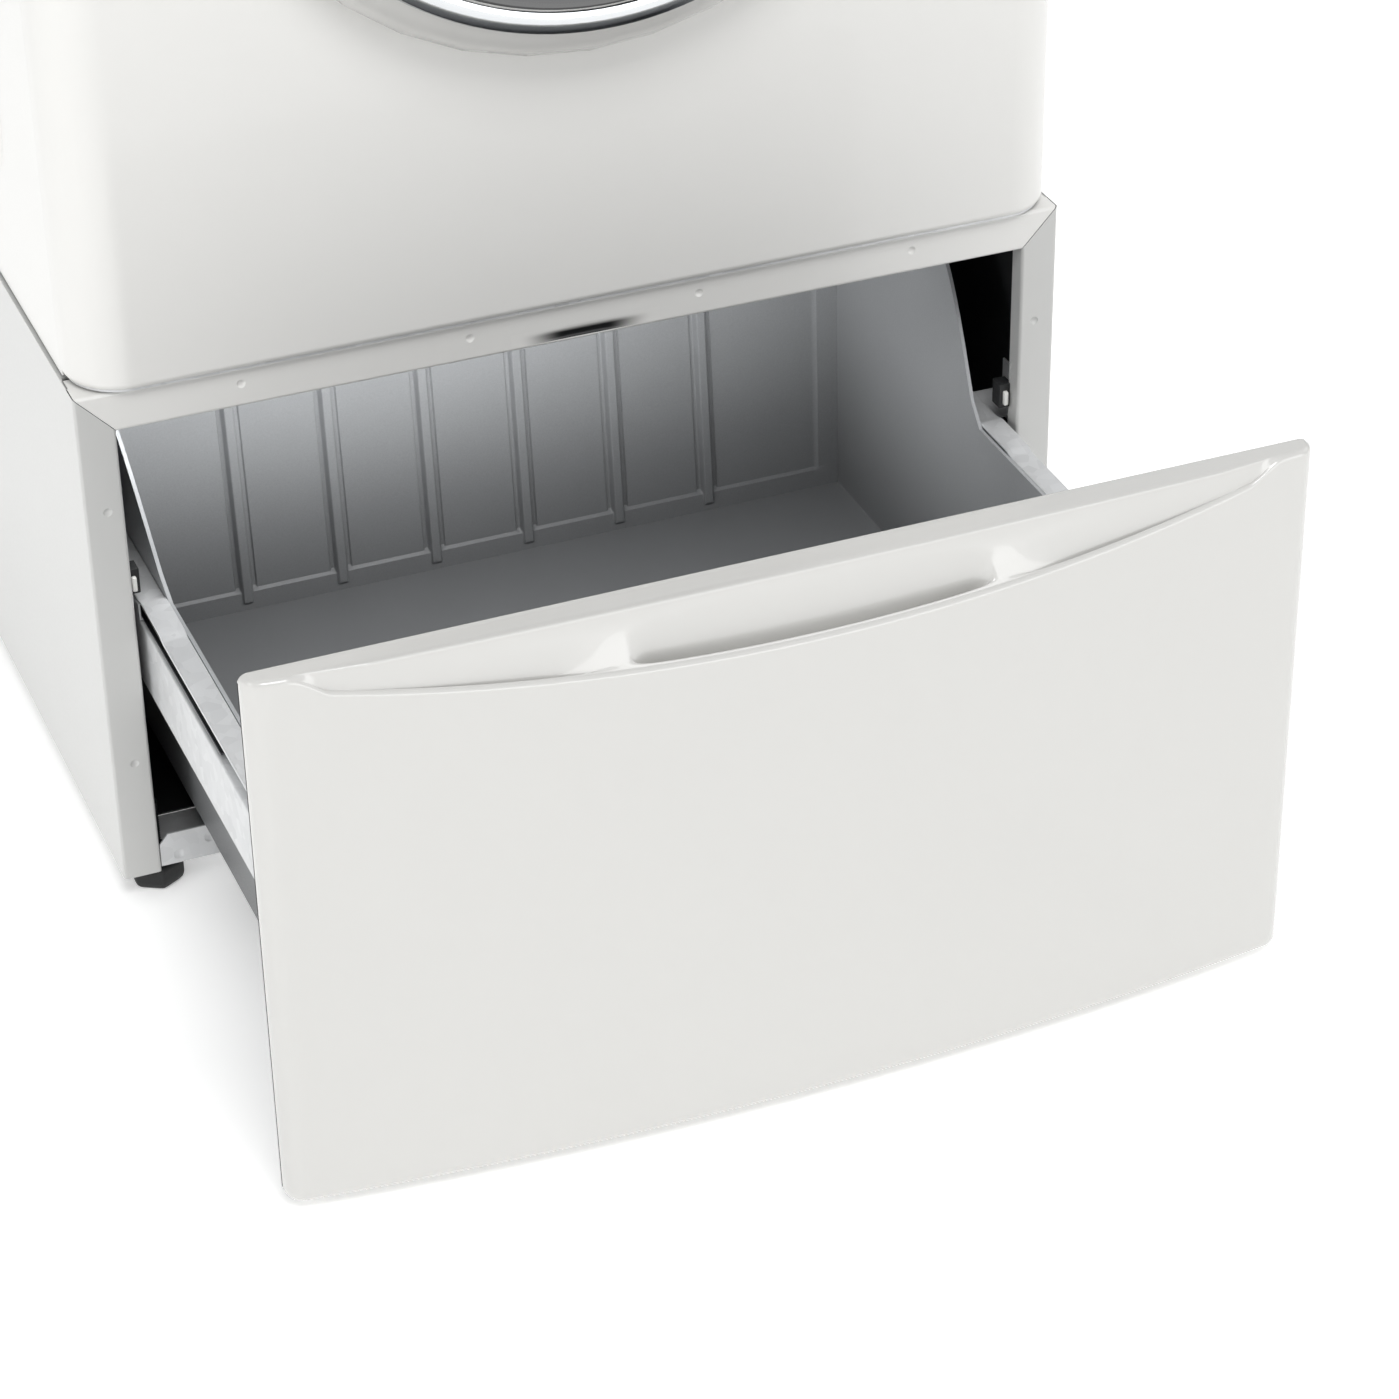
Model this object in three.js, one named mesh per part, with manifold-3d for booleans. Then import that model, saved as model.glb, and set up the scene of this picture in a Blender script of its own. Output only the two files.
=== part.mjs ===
// A front-loading washing machine that stands on a storage-drawer pedestal, in millimetres.
// +Z is up, the fronts face -Y and the floor is at z = 0. Pieces are drawn in the cabinet's own
// frame, whose y = 0 is the pedestal's front plane, and the last group centres them on the origin.
// At rest the pedestal's drawer stands open by DRAWER_OPEN.
import * as THREE from "three";
import { mergeVertices } from "three/addons/utils/BufferGeometryUtils.js";
import Module from "manifold-3d";

const wasm = await Module();
wasm.setup();

// ---- driving dimensions ----
const GAP = 0.4; // running gap between neighbours
const SHEET = 1.5; // folded steel sheet

const PEDESTAL_WIDTH = 686;
const PEDESTAL_DEPTH = 672;
const PEDESTAL_HEIGHT = 366.5;
const FOOT_HEIGHT = 18; // the cabinet's lower edge above the floor
const FLANGE = 26; // front flange of a side
const RAIL_HEIGHT = 27.5; // front rail under the washer
const LIP = 14; // return lip behind a flange
const SEAM = 1; // open mitre between the top rail and the sides
const FOOT_RADIUS = 20;
const FOOT_X = 316;
const FOOT_INSET = 21; // foot centre from the pedestal's front or back

const DRAWER_OPEN = 346;
const DRAWER_WIDTH = 683.5;
const DRAWER_BOTTOM = 8.4;
const DRAWER_END_DEPTH = 15; // thickness of the drawer front at its ends
const DRAWER_BOW = 23; // how far the middle of the drawer front stands proud of its ends
const TUB_FLOOR = 58; // inner floor of the storage tub
const TUB_WALL = 2.5;
const TUB_LOW_EDGE = 221; // rim beside the rails
const TUB_HIGH_EDGE = 343; // rim of the raised back
const TUB_BACK = 240; // inner foot of the tub's back wall
const RAIL_TOP = 221; // top of the drawer's steel rails
const SLIDE_LENGTH = 560;

const WASHER_WIDTH = 682;
const WASHER_FRONT = -8;
const WASHER_BACK = 664;
const WASHER_CORNER = 38;
const WASHER_HEIGHT = 965;
const CONTROL_HEIGHT = 101;
const TOP_HEIGHT = 19;
const PAN_HEIGHT = 26;
const DOOR_HEIGHT = 430; // drum axis above the pedestal
const DOOR_HOLE = 215;
const HINGE_X = -250;
const HINGE_Y = -28;
const DRUM_RADIUS = 261.5;
const DRUM_FRONT = 92;
const DRUM_BACK = 500;
const SHAFT_RADIUS = 14;
const PULLEY_RADIUS = 130;
const MOTOR_PULLEY_RADIUS = 12;
const MOTOR_DROP = 355; // motor axis below the drum axis
const PULLEY_Y = 600;
const PULLEY_WIDTH = 16;

// ---- worked out from them ----
const HALF = PEDESTAL_WIDTH / 2;
const PEDESTAL_TOP = FOOT_HEIGHT + PEDESTAL_HEIGHT;
const OPENING = HALF - FLANGE; // half width of the drawer bay
const RAIL_BOTTOM = PEDESTAL_TOP - RAIL_HEIGHT;
const WASHER_HALF = WASHER_WIDTH / 2;
const WASHER_BOTTOM = PEDESTAL_TOP + 1.5;
const WASHER_TOP = PEDESTAL_TOP + WASHER_HEIGHT;
const CONTROL_TOP = WASHER_TOP - TOP_HEIGHT;
const CONTROL_BOTTOM = CONTROL_TOP - CONTROL_HEIGHT;
const AXIS_Z = PEDESTAL_TOP + DOOR_HEIGHT;
const MOTOR_Z = AXIS_Z - MOTOR_DROP;
const CONTROL_Z = (CONTROL_TOP + CONTROL_BOTTOM) / 2;
const SIDES = [["left", -1], ["right", 1]];

// ---- finishes ----
function finish(color, roughness, metalness, extra = {}) {
  return new THREE.MeshStandardMaterial({ color, roughness, metalness, ...extra });
}
const WHITE_ENAMEL = finish(0xe4e3e0, 0.25, 0);
const WHITE_PLASTIC = finish(0xe6e5e2, 0.2, 0);
const GALVANISED = finish(0xb9babc, 0.4, 0.9);
const DARK_STEEL = finish(0x3a3c3e, 0.4, 0.9);
const GREY_PLASTIC = finish(0x8b8f92, 0.5, 0);
const TUB_PLASTIC = finish(0xcfd0cc, 0.5, 0);
const BLACK_RUBBER = finish(0x1b1c1d, 0.7, 0);
const GASKET_RUBBER = finish(0x77797b, 0.6, 0);
const STAINLESS = finish(0xc6c8ca, 0.25, 1);
const CAST_ALUMINIUM = finish(0xa9abad, 0.5, 1);
const BEARING_STEEL = finish(0xd0d2d4, 0.2, 1);
const CAST_IRON = finish(0x4a4c4e, 0.8, 0.6);
const CHROME = finish(0xdadcde, 0.1, 1);
const GLASS = finish(0xcfd8dc, 0.05, 0, { transparent: true, opacity: 0.35 });
const DARK_WINDOW = finish(0x111214, 0.1, 0);

// ---- making and combining solids ----
function toSolid(geometry) {
  const bare = geometry.clone();
  bare.deleteAttribute("normal");
  bare.deleteAttribute("uv");
  const merged = mergeVertices(bare, 1e-3);
  const index = merged.index.array;
  const kept = [];
  for (let i = 0; i < index.length; i += 3) {
    const [a, b, c] = [index[i], index[i + 1], index[i + 2]];
    if (a !== b && b !== c && a !== c) kept.push(a, b, c);
  }
  return new wasm.Manifold(
    new wasm.Mesh({
      numProp: 3,
      vertProperties: new Float32Array(merged.attributes.position.array),
      triVerts: new Uint32Array(kept),
    }),
  );
}

function toGeometry(solid) {
  const mesh = solid.getMesh();
  const points = new Float32Array(mesh.numVert * 3);
  for (let i = 0; i < mesh.numVert; i++) {
    const from = i * mesh.numProp;
    points.set(mesh.vertProperties.subarray(from, from + 3), i * 3);
  }
  const geometry = new THREE.BufferGeometry();
  geometry.setAttribute("position", new THREE.BufferAttribute(points, 3));
  geometry.setIndex(new THREE.BufferAttribute(new Uint32Array(mesh.triVerts), 1));
  geometry.computeVertexNormals();
  return geometry;
}

function join(...pieces) {
  return toGeometry(pieces.map(toSolid).reduce((whole, piece) => whole.add(piece)));
}

function cut(body, ...tools) {
  return toGeometry(tools.map(toSolid).reduce((left, tool) => left.subtract(tool), toSolid(body)));
}

function common(a, b) {
  return toGeometry(toSolid(a).intersect(toSolid(b)));
}

// ---- simple shapes in place ----
function block(x0, x1, y0, y1, z0, z1) {
  const box = new THREE.BoxGeometry(x1 - x0, y1 - y0, z1 - z0);
  return box.translate((x0 + x1) / 2, (y0 + y1) / 2, (z0 + z1) / 2);
}

// A block on one side of the machine: x runs from the middle outwards, and side is -1 or 1.
function sideBlock(side, inner, outer, y0, y1, z0, z1) {
  return block(Math.min(side * inner, side * outer), Math.max(side * inner, side * outer), y0, y1, z0, z1);
}

function outline(points) {
  return new THREE.Shape(points.map(([u, v]) => new THREE.Vector2(u, v)));
}

const UPRIGHT_X = new THREE.Matrix4().set(0, 0, 1, 0, 1, 0, 0, 0, 0, 1, 0, 0, 0, 0, 0, 1);
const UPRIGHT_Y = new THREE.Matrix4().set(1, 0, 0, 0, 0, 0, -1, 0, 0, 1, 0, 0, 0, 0, 0, 1);

function extruded(shape, depth, curveSegments) {
  return new THREE.ExtrudeGeometry(shape, { depth, bevelEnabled: false, curveSegments });
}

// A plan outline (x, y) raised from z0 to z1.
function alongZ(shape, z0, z1, curveSegments = 12) {
  return extruded(shape, z1 - z0, curveSegments).translate(0, 0, z0);
}

// A side outline (y, z) swept from x0 to x1.
function alongX(shape, x0, x1, curveSegments = 12) {
  return extruded(shape, x1 - x0, curveSegments).applyMatrix4(UPRIGHT_X).translate(x0, 0, 0);
}

// A front outline (x, z) swept from y0 to y1.
function alongY(shape, y0, y1, curveSegments = 12) {
  return extruded(shape, y1 - y0, curveSegments).applyMatrix4(UPRIGHT_Y).translate(0, y1, 0);
}

// A profile of (radius, y) turned about a line along Y through (x, z).
function turned(profile, x = 0, z = AXIS_Z, segments = 36) {
  const points = profile.map(([r, y]) => new THREE.Vector2(r, y));
  const first = profile[0];
  const last = profile[profile.length - 1];
  if (first[0] > 0 || last[0] > 0) points.push(points[0].clone());
  const solid = new THREE.LatheGeometry(points, segments);
  const area = profile.reduce((sum, [r, y], i) => {
    const [nextR, nextY] = profile[(i + 1) % profile.length];
    return sum + r * nextY - nextR * y;
  }, 0);
  if (area < 0) {
    const index = solid.index.array;
    for (let i = 0; i < index.length; i += 3) [index[i], index[i + 1]] = [index[i + 1], index[i]];
  }
  return solid.translate(x, 0, z);
}

function discY(x, z, radius, y0, y1, segments = 20) {
  return turned([[0, y0], [radius, y0], [radius, y1], [0, y1]], x, z, segments);
}

function discZ(x, y, radius, z0, z1, segments = 24) {
  const solid = new THREE.CylinderGeometry(radius, radius, z1 - z0, segments);
  return solid.rotateX(Math.PI / 2).translate(x, y, (z0 + z1) / 2);
}

// A straight bar from point a to point b.
function bar(a, b, radius, segments = 16) {
  const from = new THREE.Vector3(...a);
  const along = new THREE.Vector3(...b).sub(from);
  const solid = new THREE.CylinderGeometry(radius, radius, along.length(), segments);
  const turn = new THREE.Quaternion().setFromUnitVectors(
    new THREE.Vector3(0, 1, 0),
    along.clone().normalize(),
  );
  const middle = from.addScaledVector(along, 0.5);
  return solid.applyQuaternion(turn).translate(middle.x, middle.y, middle.z);
}

// ---- pedestal ----
const RETURN = OPENING + SHEET;

// One folded side: front flange with a return lip, outer wall and rear flange.
function pedestalSide(side) {
  const points = [
    [HALF, 0], [HALF, PEDESTAL_DEPTH], [HALF - 20, PEDESTAL_DEPTH],
    [HALF - 20, PEDESTAL_DEPTH - SHEET], [HALF - SHEET, PEDESTAL_DEPTH - SHEET],
    [HALF - SHEET, SHEET], [RETURN, SHEET], [RETURN, LIP], [OPENING, LIP], [OPENING, 0],
  ].map(([x, y]) => [side * x, y]);
  const wall = alongZ(outline(points), FOOT_HEIGHT, PEDESTAL_TOP);
  const corner = [side * (OPENING - 3), PEDESTAL_TOP + 3];
  const mitre = alongY(outline([...mitreEdge(side, 0), corner]), -1, LIP + 1);
  const inner = HALF - 22;
  const foldTop = sideBlock(side, inner, HALF - 0.5, 30, 650, PEDESTAL_TOP - SHEET, PEDESTAL_TOP);
  const foldBottom = sideBlock(side, HALF - 40, HALF - 0.5, LIP + 1, 650, FOOT_HEIGHT, FOOT_HEIGHT + SHEET);
  const holes = footPlaces(side).map(([x, y]) => discZ(x, y, 6, FOOT_HEIGHT - 1, FOOT_HEIGHT + 3, 16));
  return cut(join(cut(wall, mitre), foldTop, foldBottom), ...holes);
}

// The 45-degree seam between a side's flange and the top rail, moved inwards by shift.
function mitreEdge(side, shift) {
  return [
    [side * (OPENING - FLANGE * 0.1 - shift), RAIL_BOTTOM - RAIL_HEIGHT * 0.1],
    [side * (HALF + FLANGE * 0.1 - shift), PEDESTAL_TOP + RAIL_HEIGHT * 0.1],
  ];
}

function footPlaces(side) {
  return [
    [side * FOOT_X, FOOT_INSET],
    [side * FOOT_X, PEDESTAL_DEPTH - FOOT_INSET - 12],
  ];
}

// Front rail under the washer, mitred into the sides, with a finger relief in its lower edge.
function pedestalTopRail() {
  const channel = outline([
    [0, RAIL_BOTTOM], [LIP, RAIL_BOTTOM], [LIP, RAIL_BOTTOM + SHEET], [SHEET, RAIL_BOTTOM + SHEET],
    [SHEET, PEDESTAL_TOP - SHEET], [28, PEDESTAL_TOP - SHEET], [28, PEDESTAL_TOP], [0, PEDESTAL_TOP],
  ]);
  const rail = alongX(channel, -HALF, HALF);
  const mitres = SIDES.flatMap(([, side]) => [
    alongY(outline([...mitreEdge(side, SEAM), [side * (HALF + 9), RAIL_BOTTOM - 3]]), -1, LIP + 1),
    sideBlock(side, HALF - SHEET - GAP, HALF + 1, SHEET + 0.2, 40, RAIL_BOTTOM - 1, PEDESTAL_TOP + 1),
  ]);
  const relief = alongY(
    outline([[-44, RAIL_BOTTOM - 1], [44, RAIL_BOTTOM - 1], [34, RAIL_BOTTOM + 6], [-34, RAIL_BOTTOM + 6]]),
    -1,
    LIP + 1,
  );
  return cut(rail, ...mitres, relief);
}

function pedestalBottomRail() {
  const inner = OPENING - GAP;
  const z = FOOT_HEIGHT + 2;
  const web = block(-inner, inner, 1.5, 3, z, z + 25.5);
  const shelf = block(-inner, inner, 1.5, 60, z, z + SHEET);
  const ears = SIDES.map(([, side]) => sideBlock(side, inner - 10, HALF - 3, LIP + 2, 60, z, z + SHEET));
  const holes = SIDES.map(([, side]) => discZ(...footPlaces(side)[0], 6, z - 1, z + 3, 16));
  return cut(join(web, shelf, ...ears), ...holes);
}

// Back panel with its lower edge folded forwards as the rear base rail.
function pedestalBackPanel() {
  const y = PEDESTAL_DEPTH - SHEET - GAP;
  const z = FOOT_HEIGHT + 2;
  const width = HALF - SHEET - GAP;
  const panel = block(-width, width, y - SHEET, y, z, PEDESTAL_TOP - SHEET);
  const fold = block(-width + 1, width - 1, y - 62, y - 0.2, z, z + SHEET);
  const holes = SIDES.map(([, side]) => discZ(...footPlaces(side)[1], 6, z - 1, z + 3, 16));
  return cut(join(panel, fold), ...holes);
}

// Hexagonal levelling foot on its threaded stem.
function levellingFoot() {
  const pad = discZ(0, 0, FOOT_RADIUS, 5, FOOT_HEIGHT - 0.5, 6);
  const sole = new THREE.CylinderGeometry(FOOT_RADIUS, FOOT_RADIUS - 3, 5.2, 6);
  const stem = discZ(0, 0, 5, 12, 62, 16);
  return join(pad, sole.rotateX(Math.PI / 2).translate(0, 0, 2.6), stem);
}

// ---- drawer and its slides ----
// Folded steel rail: a top flange, a groove that is the slide's inner race, and a deep outer plate.
function drawerRail(side) {
  const points = [
    [293.3, RAIL_TOP - SHEET], [298, RAIL_TOP - SHEET], [298, 156], [299.5, 156], [299.5, 204],
    [309.5, 204], [309.5, 155.5], [311, 155.5], [311, 205.5], [299.5, 205.5], [299.5, 206.2],
    [304, 206.2], [304, 207.2], [301, 207.2], [301, 217.8], [304, 217.8], [304, 218.8],
    [299.5, 218.8], [299.5, RAIL_TOP - SHEET], [310.5, RAIL_TOP - SHEET], [310.5, RAIL_TOP],
    [293.3, RAIL_TOP],
  ].map(([x, z]) => [side * x, z]);
  return alongY(outline(points), -DRAWER_OPEN + 3, TUB_BACK - 2);
}

// Middle member, an H section that runs half as far as the drawer.
function middleSlide(side) {
  const front = -DRAWER_OPEN / 2 + 12;
  const points = [
    [301.7, 207.9], [309.2, 207.9], [309.2, 209], [306, 209], [306, 216], [309.2, 216],
    [309.2, 217.1], [301.7, 217.1], [301.7, 216], [304.9, 216], [304.9, 209], [301.7, 209],
  ].map(([x, z]) => [side * x, z]);
  return alongY(outline(points), front, front + SLIDE_LENGTH - 120);
}

// Cabinet member, a channel carried off the side wall by a front and a rear bracket.
function cabinetSlide(side) {
  const points = [
    [306.4, 206.2], [311, 206.2], [311, 218.8], [306.4, 218.8], [306.4, 217.8], [309.7, 217.8],
    [309.7, 207.2], [306.4, 207.2],
  ].map(([x, z]) => [side * x, z]);
  const channel = alongY(outline(points), LIP + 2, LIP + 2 + SLIDE_LENGTH);
  const wall = HALF - SHEET - GAP;
  const brackets = [30, 500].flatMap((y) => [
    sideBlock(side, 310.8, wall, y, y + 40, 211, 212.5),
    sideBlock(side, wall - SHEET, wall, y, y + 40, 190, 235),
  ]);
  return join(channel, ...brackets);
}

// Storage tub: low beside the rails, sweeping up to a raised back whose wall leans backwards.
function storageTub() {
  const section = (wall, floor, top) =>
    outline([
      [-286 - wall, floor], [286 + wall, floor], [290.4 + wall, TUB_LOW_EDGE],
      [300 + wall, top], [-300 - wall, top], [-290.4 - wall, TUB_LOW_EDGE],
    ]);
  const profile = (wall, floor) => {
    const front = -DRAWER_OPEN + 4 + TUB_WALL - wall;
    const side = new THREE.Shape();
    side.moveTo(front, floor);
    side.lineTo(TUB_BACK + wall, floor);
    side.lineTo(TUB_BACK + 24 + wall, TUB_HIGH_EDGE);
    side.lineTo(150, TUB_HIGH_EDGE);
    side.bezierCurveTo(85, TUB_HIGH_EDGE, 58, 290, 12, TUB_LOW_EDGE);
    side.lineTo(front, TUB_LOW_EDGE);
    return side;
  };
  const top = TUB_HIGH_EDGE;
  const outer = common(
    alongY(section(TUB_WALL, TUB_FLOOR - TUB_WALL, top), -360, 300),
    alongX(profile(TUB_WALL, TUB_FLOOR - TUB_WALL), -310, 310, 16),
  );
  const hollow = outline([
    [-DRAWER_OPEN + 4 + TUB_WALL, TUB_FLOOR], [TUB_BACK, TUB_FLOOR], [TUB_BACK + 25, top + 5],
    [-DRAWER_OPEN + 4 + TUB_WALL, top + 5],
  ]);
  return cut(outer, common(alongY(section(0, TUB_FLOOR, top + 5), -360, 300), alongX(hollow, -310, 310)));
}

function bowY(x) {
  return -DRAWER_OPEN - DRAWER_END_DEPTH - DRAWER_BOW * (1 - (x / (DRAWER_WIDTH / 2)) ** 2);
}

// Bowed outline of the drawer front, grown by inset inwards from every face but the back.
function bowedPlan(inset, back) {
  const half = DRAWER_WIDTH / 2 - inset;
  const steps = 20;
  const points = [[half, back], [-half, back]];
  for (let i = 0; i <= steps; i++) {
    const x = -half + (2 * half * i) / steps;
    points.push([x, bowY(x) + inset]);
  }
  return outline(points.reverse());
}

// Bowed front, hollow from behind, with the sloping hand scoop and the finger pocket in its top.
function drawerFront() {
  const outer = alongZ(bowedPlan(0, -DRAWER_OPEN), DRAWER_BOTTOM, PEDESTAL_TOP);
  const hollow = alongZ(bowedPlan(4, -DRAWER_OPEN + 1), DRAWER_BOTTOM + 4, PEDESTAL_TOP - 64);
  const scoop = alongX(
    outline([
      [-DRAWER_OPEN - 18, PEDESTAL_TOP + 1], [-DRAWER_OPEN - 60, PEDESTAL_TOP + 1],
      [-DRAWER_OPEN - 60, PEDESTAL_TOP - 80], [-DRAWER_OPEN - 38.5, PEDESTAL_TOP - 42],
    ]),
    -400,
    400,
  );
  const mouth = new THREE.Shape();
  mouth.absellipse(0, -DRAWER_OPEN - 25, 112, 8.5, 0, Math.PI * 2);
  const pocket = alongZ(mouth, PEDESTAL_TOP - 52, PEDESTAL_TOP + 1, 10);
  return cut(outer, hollow, scoop, pocket);
}

function drawerLiner() {
  const half = 300;
  const y = -DRAWER_OPEN + GAP;
  return block(-half, half, y, y + 2, DRAWER_BOTTOM + 8, PEDESTAL_TOP - 45);
}

// ---- washer casing ----
// Plan of the rounded front wrap: outer face inset by inset, closing straight across at y = back.
function frontPlan(inset, back) {
  const half = WASHER_HALF - inset;
  const radius = WASHER_CORNER - inset;
  const centreX = WASHER_HALF - WASHER_CORNER;
  const centreY = WASHER_FRONT + WASHER_CORNER;
  const plan = new THREE.Shape();
  plan.moveTo(half, back);
  plan.lineTo(-half, back);
  plan.lineTo(-half, centreY);
  plan.absarc(-centreX, centreY, radius, Math.PI, Math.PI * 1.5, false);
  plan.absarc(centreX, centreY, radius, Math.PI * 1.5, Math.PI * 2, false);
  plan.lineTo(half, back);
  return plan;
}

function frontWrap(thickness, z0, z1) {
  const back = WASHER_FRONT + WASHER_CORNER;
  return cut(
    alongZ(frontPlan(0, back), z0, z1, 6),
    alongZ(frontPlan(thickness, back + 1), z0 - 1, z1 + 1, 6),
  );
}

function washerFrontPanel() {
  const wrap = frontWrap(SHEET, WASHER_BOTTOM + 1, CONTROL_BOTTOM - GAP);
  const hole = discY(0, AXIS_Z, DOOR_HOLE, WASHER_FRONT - 5, WASHER_FRONT + 5, 40);
  const latchSlot = block(221, 236, WASHER_FRONT - 5, WASHER_FRONT + 5, AXIS_Z - 13, AXIS_Z + 13);
  return cut(wrap, hole, latchSlot);
}

function washerSide(side) {
  const front = WASHER_FRONT + WASHER_CORNER + GAP;
  const outer = WASHER_HALF;
  const points = [
    [outer, front], [outer, WASHER_BACK], [outer - 18, WASHER_BACK], [outer - 18, WASHER_BACK - SHEET],
    [outer - SHEET, WASHER_BACK - SHEET], [outer - SHEET, front + SHEET], [outer - 16, front + SHEET],
    [outer - 16, front],
  ].map(([x, y]) => [side * x, y]);
  const wall = alongZ(outline(points), WASHER_BOTTOM + 1, CONTROL_TOP - GAP);
  const panTop = WASHER_BOTTOM + PAN_HEIGHT + 1;
  const panRoom = sideBlock(side, 300, outer - SHEET, front - 1, front + 3, 0, panTop);
  return cut(wall, panRoom);
}

const VALVE_X = [-40, 40];
const VALVE_Z = CONTROL_BOTTOM + 42;
const HOSE_OUTLET = [250, PEDESTAL_TOP + 110];
const GLAND = [-270, CONTROL_BOTTOM + 50];

function washerRearPanel() {
  const y = WASHER_BACK - SHEET - GAP;
  const half = WASHER_HALF - SHEET - GAP;
  const panel = block(-half, half, y - SHEET, y, WASHER_BOTTOM + 3, CONTROL_TOP - GAP);
  const hole = (x, z, radius) => discY(x, z, radius, y - 5, y + 5, 20);
  const ports = VALVE_X.map((x) => hole(x, VALVE_Z, 13));
  return cut(panel, ...ports, hole(...HOSE_OUTLET, 15), hole(...GLAND, 11));
}

function topPanel() {
  const z0 = CONTROL_TOP + GAP;
  const slab = alongZ(frontPlan(0, WASHER_BACK), z0, WASHER_TOP, 6);
  const hollow = alongZ(frontPlan(2, WASHER_BACK - 2), z0 - 1, WASHER_TOP - 2, 6);
  return cut(slab, hollow);
}

// Base pan whose low wall stiffens the casing from inside.
function basePan() {
  const back = WASHER_BACK - 8;
  const slab = alongZ(frontPlan(3, back), WASHER_BOTTOM, WASHER_BOTTOM + PAN_HEIGHT, 6);
  const hollow = alongZ(frontPlan(5, back - 2), WASHER_BOTTOM + 2, WASHER_BOTTOM + 30, 6);
  return cut(slab, hollow);
}

function topBrace() {
  const z = CONTROL_TOP - 26;
  const half = WASHER_HALF - SHEET - GAP;
  const plate = block(-half, half, 340, 400, z, z + 2);
  const folds = [340, 398].map((y) => block(-half, half, y, y + 2, z - 18, z + 0.5));
  return join(plate, ...folds);
}

// ---- controls ----
const DISPENSER = { x0: -297, x1: -133, z0: CONTROL_BOTTOM + 10, z1: CONTROL_TOP - 11 };
const KNOB_X = -50;
const WINDOW = { x0: 22, x1: 152 };
const BUTTONS = [["power_button", 205], ["start_button", 262]];
const BUTTON_RADIUS = 12;

function controlPanel() {
  const wrap = frontWrap(3, CONTROL_BOTTOM, CONTROL_TOP);
  const y = [WASHER_FRONT - 5, WASHER_FRONT + 6];
  const buttonHoles = BUTTONS.map(([, x]) => discY(x, CONTROL_Z, BUTTON_RADIUS + 0.6, ...y));
  return cut(
    wrap,
    block(DISPENSER.x0, DISPENSER.x1, ...y, DISPENSER.z0, DISPENSER.z1),
    block(WINDOW.x0 + 4, WINDOW.x1 - 4, ...y, CONTROL_Z - 20, CONTROL_Z + 20),
    discY(KNOB_X, CONTROL_Z, 7, ...y),
    ...buttonHoles,
  );
}

function cycleKnob() {
  const y = WASHER_FRONT - 1;
  const profile = [
    [0, y - 27], [29, y - 27], [32, y - 24], [33, y - 3], [36, y], [6, y], [6, y + 16], [0, y + 16],
  ];
  return turned(profile, KNOB_X, CONTROL_Z, 36);
}

function pushButton(x) {
  const y = WASHER_FRONT;
  const profile = [
    [0, y - 5], [10, y - 5], [BUTTON_RADIUS, y - 3.5], [BUTTON_RADIUS, y + 5], [0, y + 5],
  ];
  return turned(profile, x, CONTROL_Z, 24);
}

function displayWindow() {
  const y = WASHER_FRONT - GAP;
  return block(WINDOW.x0, WINDOW.x1, y - 2, y, CONTROL_Z - 26, CONTROL_Z + 26);
}

function dispenserHousing() {
  const { x0, x1, z0, z1 } = DISPENSER;
  const shell = block(x0 - 4, x1 + 4, 4, 330, z0 - 6, z1 + 2);
  return cut(shell, block(x0, x1, 3, 326, z0 - 2, z1 - 1));
}

const DRAWER_CELLS = [[-291, -243], [-240, -192], [-189, -139]];

// Detergent drawer: a rounded front and a tray with three compartments.
function detergentDrawer() {
  const { x0, x1, z0, z1 } = DISPENSER;
  const front = block(x0 + 1, x1 - 1, WASHER_FRONT - 3, WASHER_FRONT + 4, z0 + 1, z1 - 1);
  const tray = block(x0 + 3, x1 - 3, WASHER_FRONT + 3, 300, z0 + 2, z1 - 16);
  const cells = DRAWER_CELLS.map(([a, b]) => block(a, b, 10, 294, z0 + 5, z1));
  return cut(join(front, tray), ...cells);
}

// ---- door ----
function doorFrame() {
  const ring = turned([
    [182, -9], [243, -9], [245, -14], [245, -24], [236, -38], [222, -46], [205, -48], [182, -42],
    [168, -26], [166, -20.5], [182, -20.5],
  ]);
  const clearance = discZ(HINGE_X, HINGE_Y, 12, AXIS_Z - 58, AXIS_Z + 58, 20);
  const grip = block(234, 260, -30, -5, AXIS_Z - 55, AXIS_Z + 55);
  const knuckle = discZ(HINGE_X, HINGE_Y, 9, AXIS_Z - 12, AXIS_Z + 12, 20);
  const arm = block(HINGE_X, -225, HINGE_Y - 8, HINGE_Y + 8, AXIS_Z - 12, AXIS_Z + 12);
  const bore = discZ(HINGE_X, HINGE_Y, 4.5, AXIS_Z - 60, AXIS_Z + 60, 20);
  const latch = join(
    block(225, 231, -12, 12, AXIS_Z - 7, AXIS_Z + 7),
    block(225, 234, 8, 14, AXIS_Z - 7, AXIS_Z + 7),
  );
  return join(cut(join(cut(ring, clearance, grip), knuckle, arm), bore), latch);
}

function doorGlass() {
  return turned([
    [0, 118], [60, 116], [100, 109], [132, 92], [150, 62], [160, 25], [167, -13], [180, -14], [180, -19.5],
    [161, -19.5], [154, 22], [144, 60], [127, 88], [97, 104], [58, 111], [0, 113],
  ]);
}

function doorInnerRing() {
  return turned([[171, -13], [181, -13], [181, -8.4], [205, -8.4], [205, 2], [200, 5], [171, 5]]);
}

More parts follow.
